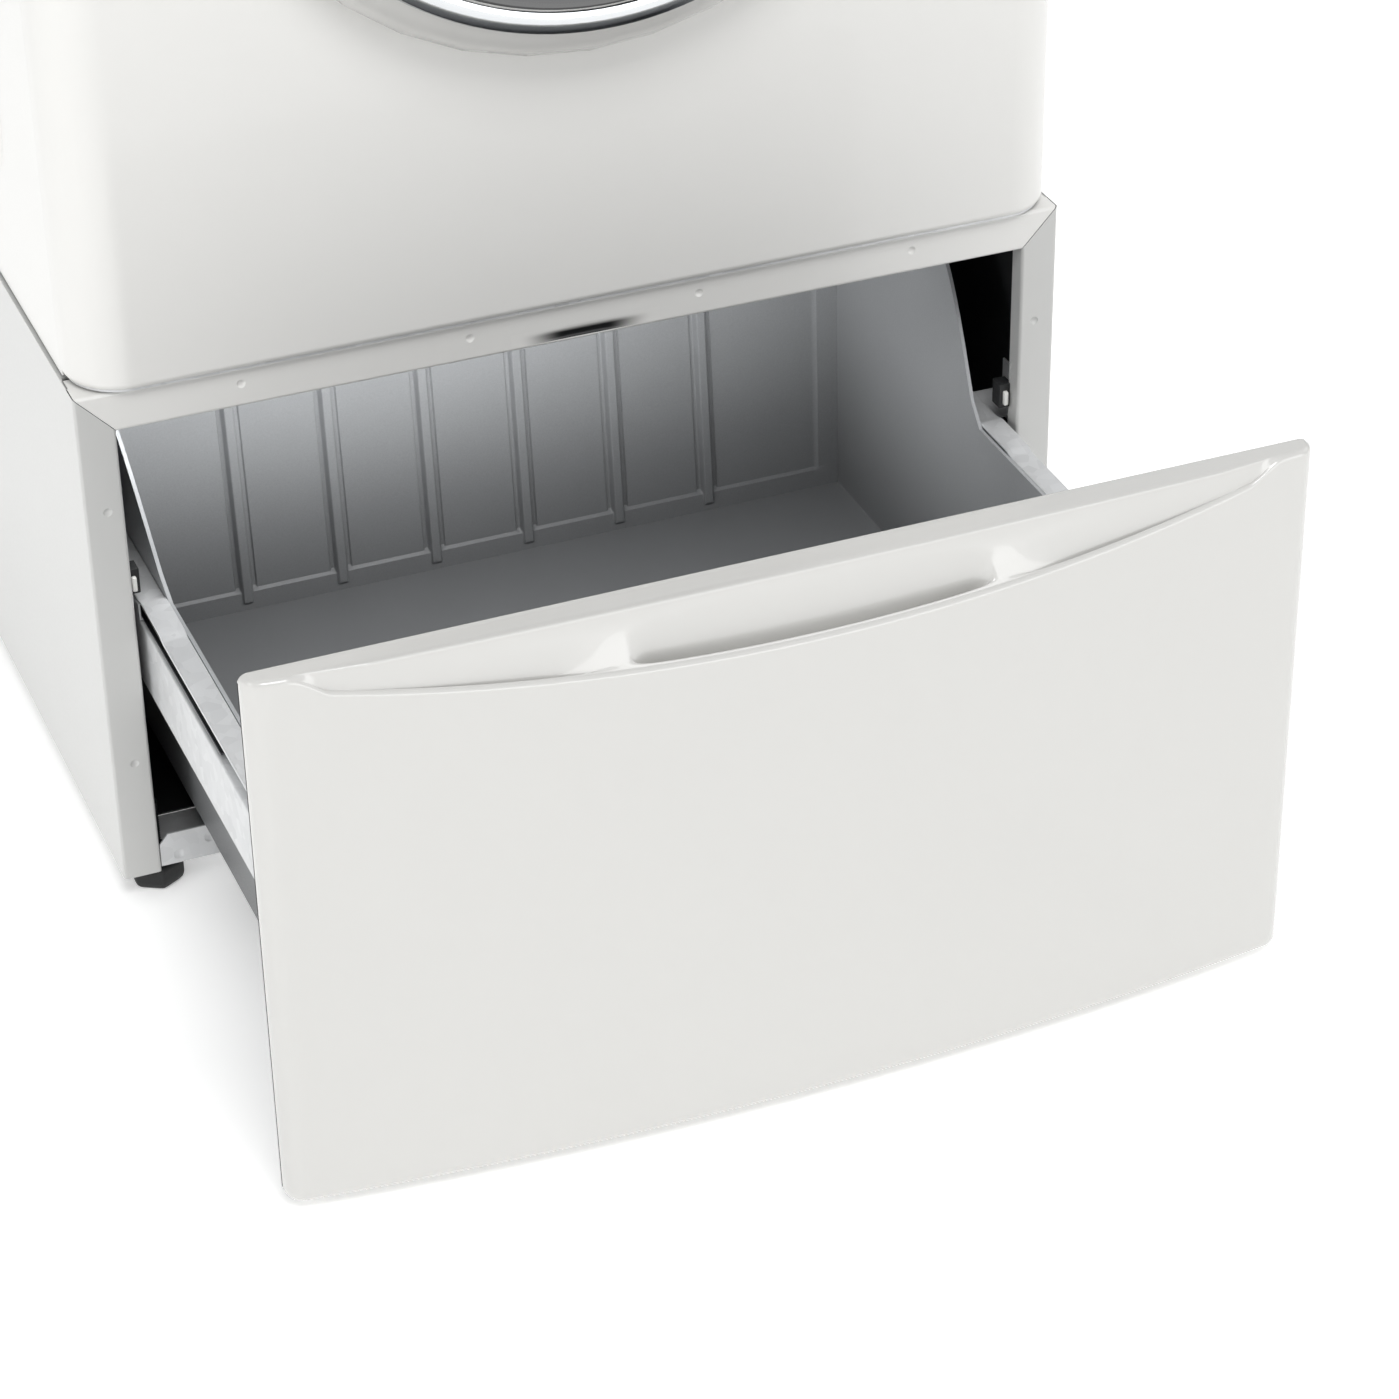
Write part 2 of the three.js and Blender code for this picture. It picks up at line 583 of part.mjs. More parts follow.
// Bracket screwed to the front panel, with its two knuckles and the hinge pin.
function hingeBracket() {
  const plate = block(HINGE_X - 36, HINGE_X - 4, -11.4, WASHER_FRONT - GAP, AXIS_Z - 60, AXIS_Z + 60);
  const pin = discZ(HINGE_X, HINGE_Y, 4, AXIS_Z - 52, AXIS_Z + 52, 20);
  const knuckles = [-1, 1].flatMap((side) => {
    const low = Math.min(side * 12.6, side * 50);
    const high = Math.max(side * 12.6, side * 50);
    return [
      discZ(HINGE_X, HINGE_Y, 9, AXIS_Z + low, AXIS_Z + high, 20),
      block(HINGE_X - 9, HINGE_X - 4, HINGE_Y, -10, AXIS_Z + low, AXIS_Z + high),
    ];
  });
  return join(plate, pin, ...knuckles);
}

function doorLock() {
  const body = block(219, 262, WASHER_FRONT + SHEET + GAP, 24, AXIS_Z - 34, AXIS_Z + 34);
  return cut(body, block(221, 239, -20, 19, AXIS_Z - 13, AXIS_Z + 13));
}

// Bellows between the casing and the tub, with the lip that the door glass closes on.
function doorGasket() {
  return turned([
    [213.5, -5], [213.5, 10], [209.5, 16], [213.5, 22], [209.5, 28], [213.5, 34], [209.5, 40], [212, 47.5],
    [207, 47.5], [206, 40], [210, 34], [206, 28], [210, 22], [206, 18], [176, 20], [175, 17], [207, 13],
    [210.5, 8], [210.5, -5],
  ]);
}

// ---- drum, outer tub and drive ----
function drumShell() {
  return turned([
    [0, DRUM_BACK], [DRUM_RADIUS, DRUM_BACK], [DRUM_RADIUS, DRUM_FRONT], [206, DRUM_FRONT - 6],
    [206, DRUM_FRONT - 4.4], [DRUM_RADIUS - 1.5, DRUM_FRONT + 1.5], [DRUM_RADIUS - 1.5, DRUM_BACK - 1.6],
    [0, DRUM_BACK - 1.6],
  ]);
}

function drumLifter(turn) {
  const base = DRUM_RADIUS - 4.5;
  const section = outline([
    [-34, base], [-30, base - 14], [-12, base - 52], [12, base - 52], [30, base - 14], [34, base],
  ]);
  const lifter = alongY(section, DRUM_FRONT + 18, DRUM_BACK - 18);
  return lifter.rotateY(turn).translate(0, 0, AXIS_Z);
}

// Three-armed casting behind the drum, with the drum shaft in its hub.
function drumSpider() {
  const y = DRUM_BACK + GAP;
  const arms = [0, 1, 2].map((i) =>
    alongY(outline([[-20, 0], [20, 0], [13, 232], [-13, 232]]), y, y + 24)
      .rotateY((i * 2 + 1) * (Math.PI / 3))
      .translate(0, 0, AXIS_Z),
  );
  const hub = discY(0, AXIS_Z, 46, y, y + 26, 32);
  const shaft = discY(0, AXIS_Z, SHAFT_RADIUS, y, PULLEY_Y + PULLEY_WIDTH + 14, 24);
  return join(...arms, hub, shaft);
}

const BEARING_SEATS = [["front_bearing", 534], ["rear_bearing", 570]];

function bearing(y) {
  const bore = SHAFT_RADIUS + 0.3;
  return turned([[bore, y], [31, y], [31, y + 16], [bore, y + 16]], 0, AXIS_Z, 32);
}

const TUB_RADIUS = 287;

function tubRearShell() {
  const wall = TUB_RADIUS - 4;
  const bowl = turned([
    [31.4, 530], [43, 530], [43, 545], [wall, 545], [wall, 300.3], [295, 300.3], [295, 308],
    [TUB_RADIUS, 308], [TUB_RADIUS, 549], [43, 549], [43, 590], [31.4, 590],
  ]);
  const springEars = SIDES.map(([, side]) => sideBlock(side, 240, 262, 362, 378, AXIS_Z + 100, AXIS_Z + 168));
  const damperEars = SIDES.map(([, side]) => sideBlock(side, 186, 204, 362, 378, AXIS_Z - 236, AXIS_Z - 205));
  const clear = discY(0, AXIS_Z, wall + 1, 301, 540, 36);
  return join(bowl, ...[...springEars, ...damperEars].map((ear) => cut(ear, clear)));
}

function tubFrontShell() {
  const wall = TUB_RADIUS - 4;
  return turned([
    [wall, 299.7], [wall, 72], [203, 66], [203, 48], [207, 48], [207, 62], [TUB_RADIUS, 68],
    [TUB_RADIUS, 292], [295, 292], [295, 299.7],
  ]);
}

function counterweight() {
  const arch = new THREE.Shape();
  arch.absarc(0, AXIS_Z, 338, Math.PI * 0.22, Math.PI * 0.78, false);
  arch.absarc(0, AXIS_Z, 298, Math.PI * 0.78, Math.PI * 0.22, true);
  return alongY(arch, 80, 170, 14);
}

function drumPulley() {
  const y0 = PULLEY_Y;
  const y1 = PULLEY_Y + PULLEY_WIDTH;
  return turned([
    [SHAFT_RADIUS + 0.3, y0], [30, y0], [30, y0 + 6], [PULLEY_RADIUS - 8, y0 + 6],
    [PULLEY_RADIUS - 8, y0], [PULLEY_RADIUS, y0], [PULLEY_RADIUS, y1], [PULLEY_RADIUS - 8, y1],
    [PULLEY_RADIUS - 8, y0 + 10], [30, y0 + 10], [30, y1], [SHAFT_RADIUS + 0.3, y1],
  ]);
}

// Closed run round the two pulleys, standing out from their rims by offset.
function beltPath(Form, offset) {
  const lean = Math.asin((PULLEY_RADIUS - MOTOR_PULLEY_RADIUS) / MOTOR_DROP);
  const run = new Form();
  run.absarc(0, AXIS_Z, PULLEY_RADIUS + offset, -lean, Math.PI + lean, false);
  run.absarc(0, MOTOR_Z, MOTOR_PULLEY_RADIUS + offset, Math.PI + lean, Math.PI * 2 - lean, false);
  return run;
}

function driveBelt() {
  const loop = beltPath(THREE.Shape, 4);
  loop.holes.push(beltPath(THREE.Path, GAP));
  return alongY(loop, PULLEY_Y + 2, PULLEY_Y + PULLEY_WIDTH - 2, 18);
}

function motor() {
  const casing = discY(0, MOTOR_Z, 60, 440, 585, 32);
  const feet = SIDES.map(([, side]) => sideBlock(side, 20, 68, 470, 550, MOTOR_Z - 68, MOTOR_Z - 40));
  return join(casing, ...feet);
}

function motorPulley() {
  const y1 = PULLEY_Y + PULLEY_WIDTH;
  const profile = [
    [0, 586], [6, 586], [6, PULLEY_Y], [MOTOR_PULLEY_RADIUS, PULLEY_Y], [MOTOR_PULLEY_RADIUS, y1], [0, y1],
  ];
  return turned(profile, 0, MOTOR_Z, 24);
}

// ---- suspension, water and services ----
function suspensionSpring(side) {
  const x = side * 251;
  return bar([x, 370, AXIS_Z + 170], [x, 370, CONTROL_TOP - 46], 13, 12);
}

function damper(side) {
  const low = [side * 262, 370, WASHER_BOTTOM + 12];
  const high = [side * 198, 370, AXIS_Z - 240];
  const middle = low.map((v, i) => v + (high[i] - v) * 0.6);
  return join(bar(low, middle, 15), bar(low, high, 6, 12));
}

const PUMP = { x: 170, z: WASHER_BOTTOM + 46 };

function drainPump() {
  const chamber = discY(PUMP.x, PUMP.z, 36, 70, 130, 28);
  const drive = discY(PUMP.x, PUMP.z, 26, 129, 190, 24);
  const neck = discZ(PUMP.x, 100, 20, PUMP.z, PUMP.z + 52, 20);
  return join(chamber, drive, neck);
}

function sumpHose() {
  const ring = new THREE.Shape();
  ring.absarc(0, 0, 22, 0, Math.PI * 2, false);
  const path = new THREE.CatmullRomCurve3([
    new THREE.Vector3(PUMP.x, 100, PUMP.z + 52 + GAP),
    new THREE.Vector3(PUMP.x, 100, PUMP.z + 66),
    new THREE.Vector3(PUMP.x - 10, 106, PUMP.z + 84),
    new THREE.Vector3(PUMP.x - 20, 112, PUMP.z + 98),
  ]);
  return new THREE.ExtrudeGeometry(ring, { steps: 8, extrudePath: path, curveSegments: 6 });
}

function inletValve() {
  const body = block(-70, 70, 590, 640, VALVE_Z - 20, VALVE_Z + 20);
  const ports = VALVE_X.map((x) => discY(x, VALVE_Z, 12, 638, WASHER_BACK + 20, 20));
  return join(body, ...ports);
}

function cableGland() {
  const [x, z] = GLAND;
  return join(discY(x, z, 10, 646, WASHER_BACK + 8, 20), discY(x, z, 14, 640, 655, 20));
}

// ---- assembly ----
const machine = new THREE.Group();

function add(name, geometry, material) {
  const mesh = new THREE.Mesh(geometry, material);
  mesh.name = name;
  machine.add(mesh);
  return mesh;
}

for (const [word, side] of SIDES) {
  add(`pedestal_${word}_side`, pedestalSide(side), WHITE_ENAMEL);
  add(`cabinet_slide_${word}`, cabinetSlide(side), GALVANISED);
  add(`middle_slide_${word}`, middleSlide(side), DARK_STEEL);
  add(`drawer_rail_${word}`, drawerRail(side), GALVANISED);
  footPlaces(side).forEach(([x, y], i) => {
    const foot = add(`${i ? "rear" : "front"}_${word}_foot`, levellingFoot(), BLACK_RUBBER);
    foot.position.set(x, y, 0);
  });
  add(`washer_${word}_side`, washerSide(side), WHITE_ENAMEL);
  add(`suspension_spring_${word}`, suspensionSpring(side), GALVANISED);
  add(`damper_${word}`, damper(side), DARK_STEEL);
}
add("pedestal_top_rail", pedestalTopRail(), WHITE_ENAMEL);
add("pedestal_bottom_rail", pedestalBottomRail(), GALVANISED);
add("pedestal_back_panel", pedestalBackPanel(), GALVANISED);
add("storage_tub", storageTub(), GREY_PLASTIC);
add("drawer_front", drawerFront(), WHITE_PLASTIC);
add("drawer_liner", drawerLiner(), GREY_PLASTIC);

add("washer_front_panel", washerFrontPanel(), WHITE_ENAMEL);
add("washer_rear_panel", washerRearPanel(), GALVANISED);
add("top_panel", topPanel(), WHITE_ENAMEL);
add("base_pan", basePan(), GALVANISED);
add("top_brace", topBrace(), GALVANISED);

add("control_panel", controlPanel(), WHITE_PLASTIC);
add("cycle_knob", cycleKnob(), CHROME);
add("display_window", displayWindow(), DARK_WINDOW);
for (const [name, x] of BUTTONS) add(name, pushButton(x), WHITE_PLASTIC);
add("dispenser_housing", dispenserHousing(), GREY_PLASTIC);
add("detergent_drawer", detergentDrawer(), WHITE_PLASTIC);

add("door_frame", doorFrame(), WHITE_PLASTIC);
add("door_glass", doorGlass(), GLASS);
add("door_inner_ring", doorInnerRing(), GREY_PLASTIC);
add("door_hinge_bracket", hingeBracket(), CHROME);
add("door_lock", doorLock(), BLACK_RUBBER);
add("door_gasket", doorGasket(), GASKET_RUBBER);

add("drum_shell", drumShell(), STAINLESS);
for (let i = 0; i < 3; i++) add(`drum_lifter_${i + 1}`, drumLifter((i * 2 * Math.PI) / 3), GREY_PLASTIC);
add("drum_spider", drumSpider(), CAST_ALUMINIUM);
for (const [name, y] of BEARING_SEATS) add(name, bearing(y), BEARING_STEEL);
add("tub_front_shell", tubFrontShell(), TUB_PLASTIC);
add("tub_rear_shell", tubRearShell(), TUB_PLASTIC);
add("counterweight", counterweight(), CAST_IRON);
add("drum_pulley", drumPulley(), CAST_ALUMINIUM);
add("drive_belt", driveBelt(), BLACK_RUBBER);
add("drive_motor", motor(), DARK_STEEL);
add("motor_pulley", motorPulley(), CAST_ALUMINIUM);

add("drain_pump", drainPump(), GREY_PLASTIC);
add("sump_hose", sumpHose(), BLACK_RUBBER);
add("inlet_valve", inletValve(), TUB_PLASTIC);
add("cable_gland", cableGland(), BLACK_RUBBER);

// The origin is on the floor under the middle of the machine with its drawer open.
const FRONT_Y = bowY(0);
const BACK_Y = WASHER_BACK + 20;
machine.position.y = -(FRONT_Y + BACK_Y) / 2;

const root = new THREE.Group();
root.add(machine);
export default root;
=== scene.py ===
"""Finished surfaces of a front-loading washing machine on its storage-drawer pedestal.

Pieces are drawn in the cabinet's own frame, in millimetres: x runs to the right, y backwards from the
pedestal's front plane and z up from the floor. at() turns such a place into the model's metres.
"""

import math

import bpy
from bpy.props import FloatProperty, FloatVectorProperty, PointerProperty
from mathutils import Matrix, Vector


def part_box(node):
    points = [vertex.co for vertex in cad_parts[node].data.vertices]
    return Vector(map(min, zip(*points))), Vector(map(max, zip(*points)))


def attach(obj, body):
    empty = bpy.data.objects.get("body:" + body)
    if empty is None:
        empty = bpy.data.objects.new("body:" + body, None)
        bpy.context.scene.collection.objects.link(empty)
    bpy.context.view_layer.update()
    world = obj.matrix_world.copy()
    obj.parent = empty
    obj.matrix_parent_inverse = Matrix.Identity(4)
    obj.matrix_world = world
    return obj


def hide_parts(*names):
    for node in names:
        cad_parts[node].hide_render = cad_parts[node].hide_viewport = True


bl_info = {
    "name": "Front-loading washer on a drawer pedestal",
    "version": (1, 0, 0),
    "blender": (4, 5, 0),
    "location": "View3D > Sidebar > Washer",
    "description": "Builds the finished surfaces of a washing machine around its fixed frame",
    "category": "Object",
}

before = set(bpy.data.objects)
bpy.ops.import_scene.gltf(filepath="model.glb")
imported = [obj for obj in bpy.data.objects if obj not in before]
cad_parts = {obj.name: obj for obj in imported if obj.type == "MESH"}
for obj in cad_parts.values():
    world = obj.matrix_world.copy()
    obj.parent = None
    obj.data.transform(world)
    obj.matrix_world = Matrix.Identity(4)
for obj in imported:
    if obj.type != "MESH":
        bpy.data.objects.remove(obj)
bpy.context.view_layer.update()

# ---- places taken from the frame ----
MM = 0.001
FRONT_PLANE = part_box("pedestal_top_rail")[0].y
AXIS = (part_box("drum_shell")[0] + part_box("drum_shell")[1]) / 2


def at(x, y, z):
    """A place in the cabinet's frame, in millimetres, as a point of the model."""
    return Vector((x * MM, y * MM + FRONT_PLANE, z * MM))


def box_mm(node):
    """A node's lowest and highest corners in the cabinet's frame, in millimetres."""
    low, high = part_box(node)
    shift = Vector((0, FRONT_PLANE, 0))
    return (low - shift) / MM, (high - shift) / MM


PEDESTAL_LOW, PEDESTAL_HIGH = box_mm("pedestal_right_side")
HALF_WIDTH = PEDESTAL_HIGH.x
DEPTH = PEDESTAL_HIGH.y
FOOT_HEIGHT = PEDESTAL_LOW.z
PEDESTAL_TOP = PEDESTAL_HIGH.z
RAIL_BOTTOM = box_mm("pedestal_top_rail")[0].z
RAIL_HEIGHT = PEDESTAL_TOP - RAIL_BOTTOM
FLANGE = 26.0
OPENING = HALF_WIDTH - FLANGE
SHEET = 1.5
LIP = 14.0
SIDES = (("left", -1), ("right", 1))

DRAWER_LOW, DRAWER_HIGH = box_mm("drawer_front")
DRAWER_BACK = DRAWER_HIGH.y
DRAWER_HALF = DRAWER_HIGH.x
TUB_LOW, TUB_HIGH = box_mm("storage_tub")
WASHER_LOW, WASHER_HIGH = box_mm("washer_front_panel")
AXIS_Z = AXIS.z / MM


# ---- colours ----
def linear(code):
    """An sRGB hex colour as three linear values."""
    channels = [int(code[i : i + 2], 16) / 255 for i in (1, 3, 5)]
    return tuple(c / 12.92 if c <= 0.04045 else ((c + 0.055) / 1.055) ** 2.4 for c in channels)


def colour_property(name, code, description):
    return FloatVectorProperty(
        name=name, description=description, subtype="COLOR", size=3, min=0, max=1, default=linear(code)
    )


def length_property(name, millimetres, description):
    return FloatProperty(
        name=name, description=description, unit="LENGTH", min=0, default=millimetres * MM, precision=4
    )


class WasherColours(bpy.types.PropertyGroup):
    enamel: colour_property("Enamel", "#E5E4E1", "Powder enamel on the steel casing")
    # painted shade: the pedestal's enamel is drawn greyer than the washer's, so its sides and flanges come
    # out darker
    pedestal: colour_property("Pedestal enamel", "#C8C8C6", "Slightly greyer enamel of the drawer pedestal")
    gloss: colour_property("Gloss plastic", "#D0CFCC", "Moulded drawer front, door and controls")
    zinc: colour_property("Zinc", "#DADBDC", "Galvanised rails and panels")
    grey: colour_property("Grey plastic", "#B0B2B4", "Storage tub and dispenser")


class WasherSizes(bpy.types.PropertyGroup):
    bend: length_property("Bend radius", 2.2, "Outer radius of the folded steel edges")
    edge: length_property("Drawer edge", 4.0, "Rounding of the drawer front's top edge")
    corner: length_property("Drawer corner", 12.0, "Plan rounding of the drawer front's ends")
    scoop: length_property("Scoop depth", 36.0, "How far the hand scoop reaches down the drawer front")
    pocket: length_property("Pocket depth", 24.0, "Extra depth of the finger pocket")
    rib: length_property("Rib height", 6.0, "How far the tub's back ribs stand proud")
    dimple: length_property("Dimple width", 6.0, "Width of the pressed dimples along the seams")


# ---- modelling helpers ----
def select_only(piece):
    bpy.ops.object.select_all(action="DESELECT")
    piece.select_set(True)
    bpy.context.view_layer.objects.active = piece


def named(name):
    piece = bpy.context.active_object
    piece.name = name
    piece.data.name = name
    return piece


def settle(piece):
    """Puts the object at the origin, with its place in its mesh."""
    select_only(piece)
    bpy.ops.object.transform_apply(location=True, rotation=True, scale=True)
    return piece


def in_edit(piece, work):
    """Runs work() in edit mode with all of the mesh selected."""
    select_only(piece)
    bpy.ops.object.mode_set(mode="EDIT")
    bpy.ops.mesh.select_all(action="SELECT")
    work()
    bpy.ops.object.mode_set(mode="OBJECT")
    return piece


def close_mesh(piece, distance=0.01):
    """Merges what meets within distance, in millimetres, and points the faces outwards."""

    def work():
        bpy.ops.mesh.remove_doubles(threshold=distance * MM)
        bpy.ops.mesh.normals_make_consistent(inside=False)

    return in_edit(piece, work)


def with_modifier(piece, kind, **settings):
    select_only(piece)
    modifier = piece.modifiers.new(kind.title(), kind)
    for name, value in settings.items():
        setattr(modifier, name, value)
    bpy.ops.object.modifier_apply(modifier=modifier.name)
    return piece


def bevelled(piece, width, segments=3, angle=35):
    """Rounds the sharp edges by width, in millimetres."""
    with_modifier(
        piece,
        "BEVEL",
        width=width * MM,
        segments=segments,
        limit_method="ANGLE",
        angle_limit=math.radians(angle),
        use_clamp_overlap=True,
        harden_normals=False,
    )
    return smooth(piece)


def smooth(piece, angle=35):
    select_only(piece)
    bpy.ops.object.shade_smooth_by_angle(angle=math.radians(angle))
    return piece


def joined(name, pieces):
    """One object made of several."""
    bpy.ops.object.select_all(action="DESELECT")
    for piece in pieces:
        piece.select_set(True)
    bpy.context.view_layer.objects.active = pieces[0]
    bpy.ops.object.join()
    return named(name)


def block(name, x0, x1, y0, y1, z0, z1):
    bpy.ops.object.select_all(action="DESELECT")
    middle = at((x0 + x1) / 2, (y0 + y1) / 2, (z0 + z1) / 2)
    bpy.ops.mesh.primitive_cube_add(size=1, location=middle)
    piece = named(name)
    piece.scale = (abs(x1 - x0) * MM, abs(y1 - y0) * MM, abs(z1 - z0) * MM)
    return settle(piece)


def formed(name, rows, wrap=False, caps=False):
    """A grid over rows of points; wrap joins each row's ends, and caps closes the first and last row."""
    bpy.ops.object.select_all(action="DESELECT")
    across, along = len(rows[0]), len(rows)
    bpy.ops.mesh.primitive_grid_add(x_subdivisions=across - 1, y_subdivisions=along - 1)
    piece = named(name)
    places = [at(*point) for row in rows for point in row]
    for vertex, place in zip(piece.data.vertices, places, strict=True):
        vertex.co = place
    piece.location = (0, 0, 0)
    if wrap:
        close_mesh(piece)
    if caps:
        in_edit(piece, fill_holes)
    return close_mesh(piece)


def fill_holes():
    bpy.ops.mesh.select_all(action="DESELECT")
    bpy.ops.mesh.select_non_manifold(extend=False)
    bpy.ops.mesh.fill_holes(sides=0)


def swept(name, outline, places):
    """A closed outline repeated along places; places are functions of an outline point."""
    rows = [[place(*point) for point in (*outline, outline[0])] for place in places]
    return formed(name, rows, wrap=True, caps=True)


def turned(name, profile, centre=(0, AXIS_Z), steps=96):
    """A profile of (radius, y) spun about a line along y through centre = (x, z)."""
    x, z = centre
    bpy.ops.object.select_all(action="DESELECT")
    bpy.ops.mesh.primitive_grid_add(x_subdivisions=len(profile), y_subdivisions=1)
    piece = named(name)
    closed = [*profile, profile[0]]
    points = [at(x + r, y, z) for r, y in closed]
    for vertex, place in zip(piece.data.vertices, points * 2, strict=True):
        vertex.co = place
    piece.location = (0, 0, 0)

    def work():
        bpy.ops.mesh.remove_doubles(threshold=0.01 * MM)
        bpy.ops.mesh.delete(type="ONLY_FACE")
        bpy.ops.mesh.select_all(action="SELECT")
        bpy.ops.mesh.spin(
            steps=steps, angle=math.tau, center=at(x, 0, z), axis=(0, 1, 0), use_auto_merge=True
        )

    in_edit(piece, work)
    return close_mesh(piece)


def copy_of_node(name, node):
    """A welded copy of a frame node, with its flat faces joined again."""
    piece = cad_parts[node].copy()
    piece.data = piece.data.copy()
    piece.data.materials.clear()
    for key in list(piece.keys()):
        del piece[key]
    bpy.context.collection.objects.link(piece)
    piece.parent = None
    piece.name = name

    def work():
        bpy.ops.mesh.remove_doubles(threshold=0.02 * MM)
        bpy.ops.mesh.dissolve_limited(angle_limit=math.radians(1))

    return in_edit(piece, work)


def bend(a, b, c, radius, steps=4):
    """Points of a round bend at b between the directions to a and c."""
    a, b, c = Vector(a), Vector(b), Vector(c)
    to_a, to_c = (a - b).normalized(), (c - b).normalized()
    half = to_a.angle(to_c) / 2
    reach = radius / math.tan(half)
    centre = b + (to_a + to_c).normalized() * radius / math.sin(half)
    start, end = b + to_a * reach - centre, b + to_c * reach - centre
    turn = start.angle_signed(end)
    found = []
    for i in range(steps + 1):
        angle = -turn * i / steps
        cos, sin = math.cos(angle), math.sin(angle)
        found.append((centre.x + start.x * cos - start.y * sin, centre.y + start.x * sin + start.y * cos))
    return found


def rounded(points, radii):
    """A closed outline with a round bend of the given radius at each corner."""
    outline = []
    count = len(points)
    for i, radius in enumerate(radii):
        if radius:
            outline += bend(points[i - 1], points[i], points[(i + 1) % count], radius)
        else:
            outline.append(points[i])
    return outline


def ease(low, high, value):
    t = min(1.0, max(0.0, (value - low) / (high - low)))
    return t * t * (3 - 2 * t)


def mix(a, b, t):
    return a + (b - a) * t


def bezier(points, t):
    """A point of the Bezier curve through two-dimensional control points."""
    row = [Vector(p) for p in points]
    while len(row) > 1:
        row = [p.lerp(q, t) for p, q in zip(row, row[1:])]
    return row[0]


def finished(piece, material, slot, body, *nodes):
    """Gives the piece its material and body, and lets it stand for frame nodes."""
    piece.data.materials.clear()
    piece.data.materials.append(material)
    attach(piece, body)
    if nodes:
        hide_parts(*nodes)
    return piece


def dressed(node, material, slot, body, width=0.6, segments=2, angle=35):
    """A CAD piece as it is, with its edges broken by width, in millimetres."""
    piece = copy_of_node(f"{node}_finished", node)
    if width:
        bevelled(piece, width, segments, angle)
        weighted(piece)
    else:
        smooth(piece, angle)
    return finished(piece, material, slot, body, node)


def weighted(piece):
    """Keeps broad flat faces flat in shading beside their rounded edges."""
    return with_modifier(piece, "WEIGHTED_NORMAL", keep_sharp=True)


def cut_by(piece, cutter):
    """Takes the cutter's shape out of the piece."""
    with_modifier(piece, "BOOLEAN", operation="DIFFERENCE", solver="EXACT", object=cutter)
    bpy.data.objects.remove(cutter)
    return piece


def disc(name, x, z, y0, y1, radius, vertices=48):
    """A round bar along y."""
    bpy.ops.object.select_all(action="DESELECT")
    middle = at(x, (y0 + y1) / 2, z)
    bpy.ops.mesh.primitive_cylinder_add(
        vertices=vertices, radius=radius * MM, depth=abs(y1 - y0) * MM, location=middle,
        rotation=(math.pi / 2, 0, 0),
    )
    return settle(named(name))


def pressed_dimples(piece, places, width, depth=1.1):
    """Presses a shallow round dimple, width across and depth deep, into the front face at each place."""
    radius = (width * width / 4 + depth * depth) / (2 * depth)
    for x, y, z in places:
        bpy.ops.object.select_all(action="DESELECT")
        centre = at(x, y - (radius - depth), z)
        bpy.ops.mesh.primitive_uv_sphere_add(
            segments=32, ring_count=40, radius=radius * MM, location=centre
        )
        cut_by(piece, settle(named("dimple_tool")))
    return piece


# ---- materials ----
def add(tree, kind, inputs=None, **settings):
    """Adds a node: settings name its properties, and inputs its sockets, as a value or a link."""
    node = tree.nodes.new(kind)
    for name, value in settings.items():
        setattr(node, name, value)
    for name, value in (inputs or {}).items():
        named_so = [s for s in node.inputs if s.enabled and name in (s.name, s.identifier)]
        socket = node.inputs[name] if isinstance(name, int) else named_so[0]
        if isinstance(value, bpy.types.NodeSocket):
            tree.links.new(value, socket)
        else:
            socket.default_value = value
    return node


def result(node):
    """The output that is switched on, of a node that has one for each kind of data."""
    return next(socket for socket in node.outputs if socket.enabled)


def rgba(colour):
    return (*colour, 1.0)


def pitch(millimetres):
    """The texture scale that makes one feature this wide."""
    return 1000.0 / millimetres


def new_material(name):
    material = bpy.data.materials.get(name)
    if material:
        return material, None, None
    material = bpy.data.materials.new(name)
    material.use_nodes = True
    tree = material.node_tree
    return material, tree, tree.nodes["Principled BSDF"]


def set_shader(shader, **values):
    names = {
        "rough": "Roughness", "metal": "Metallic", "ior": "IOR", "coat": "Coat Weight",
        "coat_rough": "Coat Roughness", "aniso": "Anisotropic", "transmission": "Transmission Weight",
        "level": "Specular IOR Level", "colour": "Base Color",
    }
    for name, value in values.items():
        shader.inputs[names[name]].default_value = value


def varied_colour(tree, colour, spread, width, detail=3.0):
    """Slow lighter and darker clouds, spread apart by a share of the colour and width millimetres wide."""
    place = add(tree, "ShaderNodeTexCoord").outputs["Object"]
    cloud = add(tree, "ShaderNodeTexNoise", {"Vector": place, "Scale": pitch(width), "Detail": detail})
    low = rgba([c * (1 - spread) for c in colour])
    high = rgba([min(1.0, c * (1 + spread)) for c in colour])
    blend = add(
        tree, "ShaderNodeMix", {"Factor": cloud.outputs["Fac"], "A": low, "B": high}, data_type="RGBA"
    )
    return place, result(blend)


def rippled(tree, shader, place, width, height, detail=2.0):
    """A noise relief of bumps width millimetres apart."""
    grain = add(tree, "ShaderNodeTexNoise", {"Vector": place, "Scale": pitch(width), "Detail": detail})
    bump = add(
        tree, "ShaderNodeBump", {"Height": grain.outputs["Fac"], "Distance": height * MM, "Strength": 1.0}
    )
    tree.links.new(bump.outputs["Normal"], shader.inputs["Normal"])
    return grain


def spread_roughness(tree, shader, source, low, high):
    """Roughness from low to high over the range that a pattern mostly keeps to."""
    rough = add(
        tree, "ShaderNodeMapRange",
        {"Value": source, "From Min": 0.3, "From Max": 0.7, "To Min": low, "To Max": high},
    )
    tree.links.new(rough.outputs["Result"], shader.inputs["Roughness"])


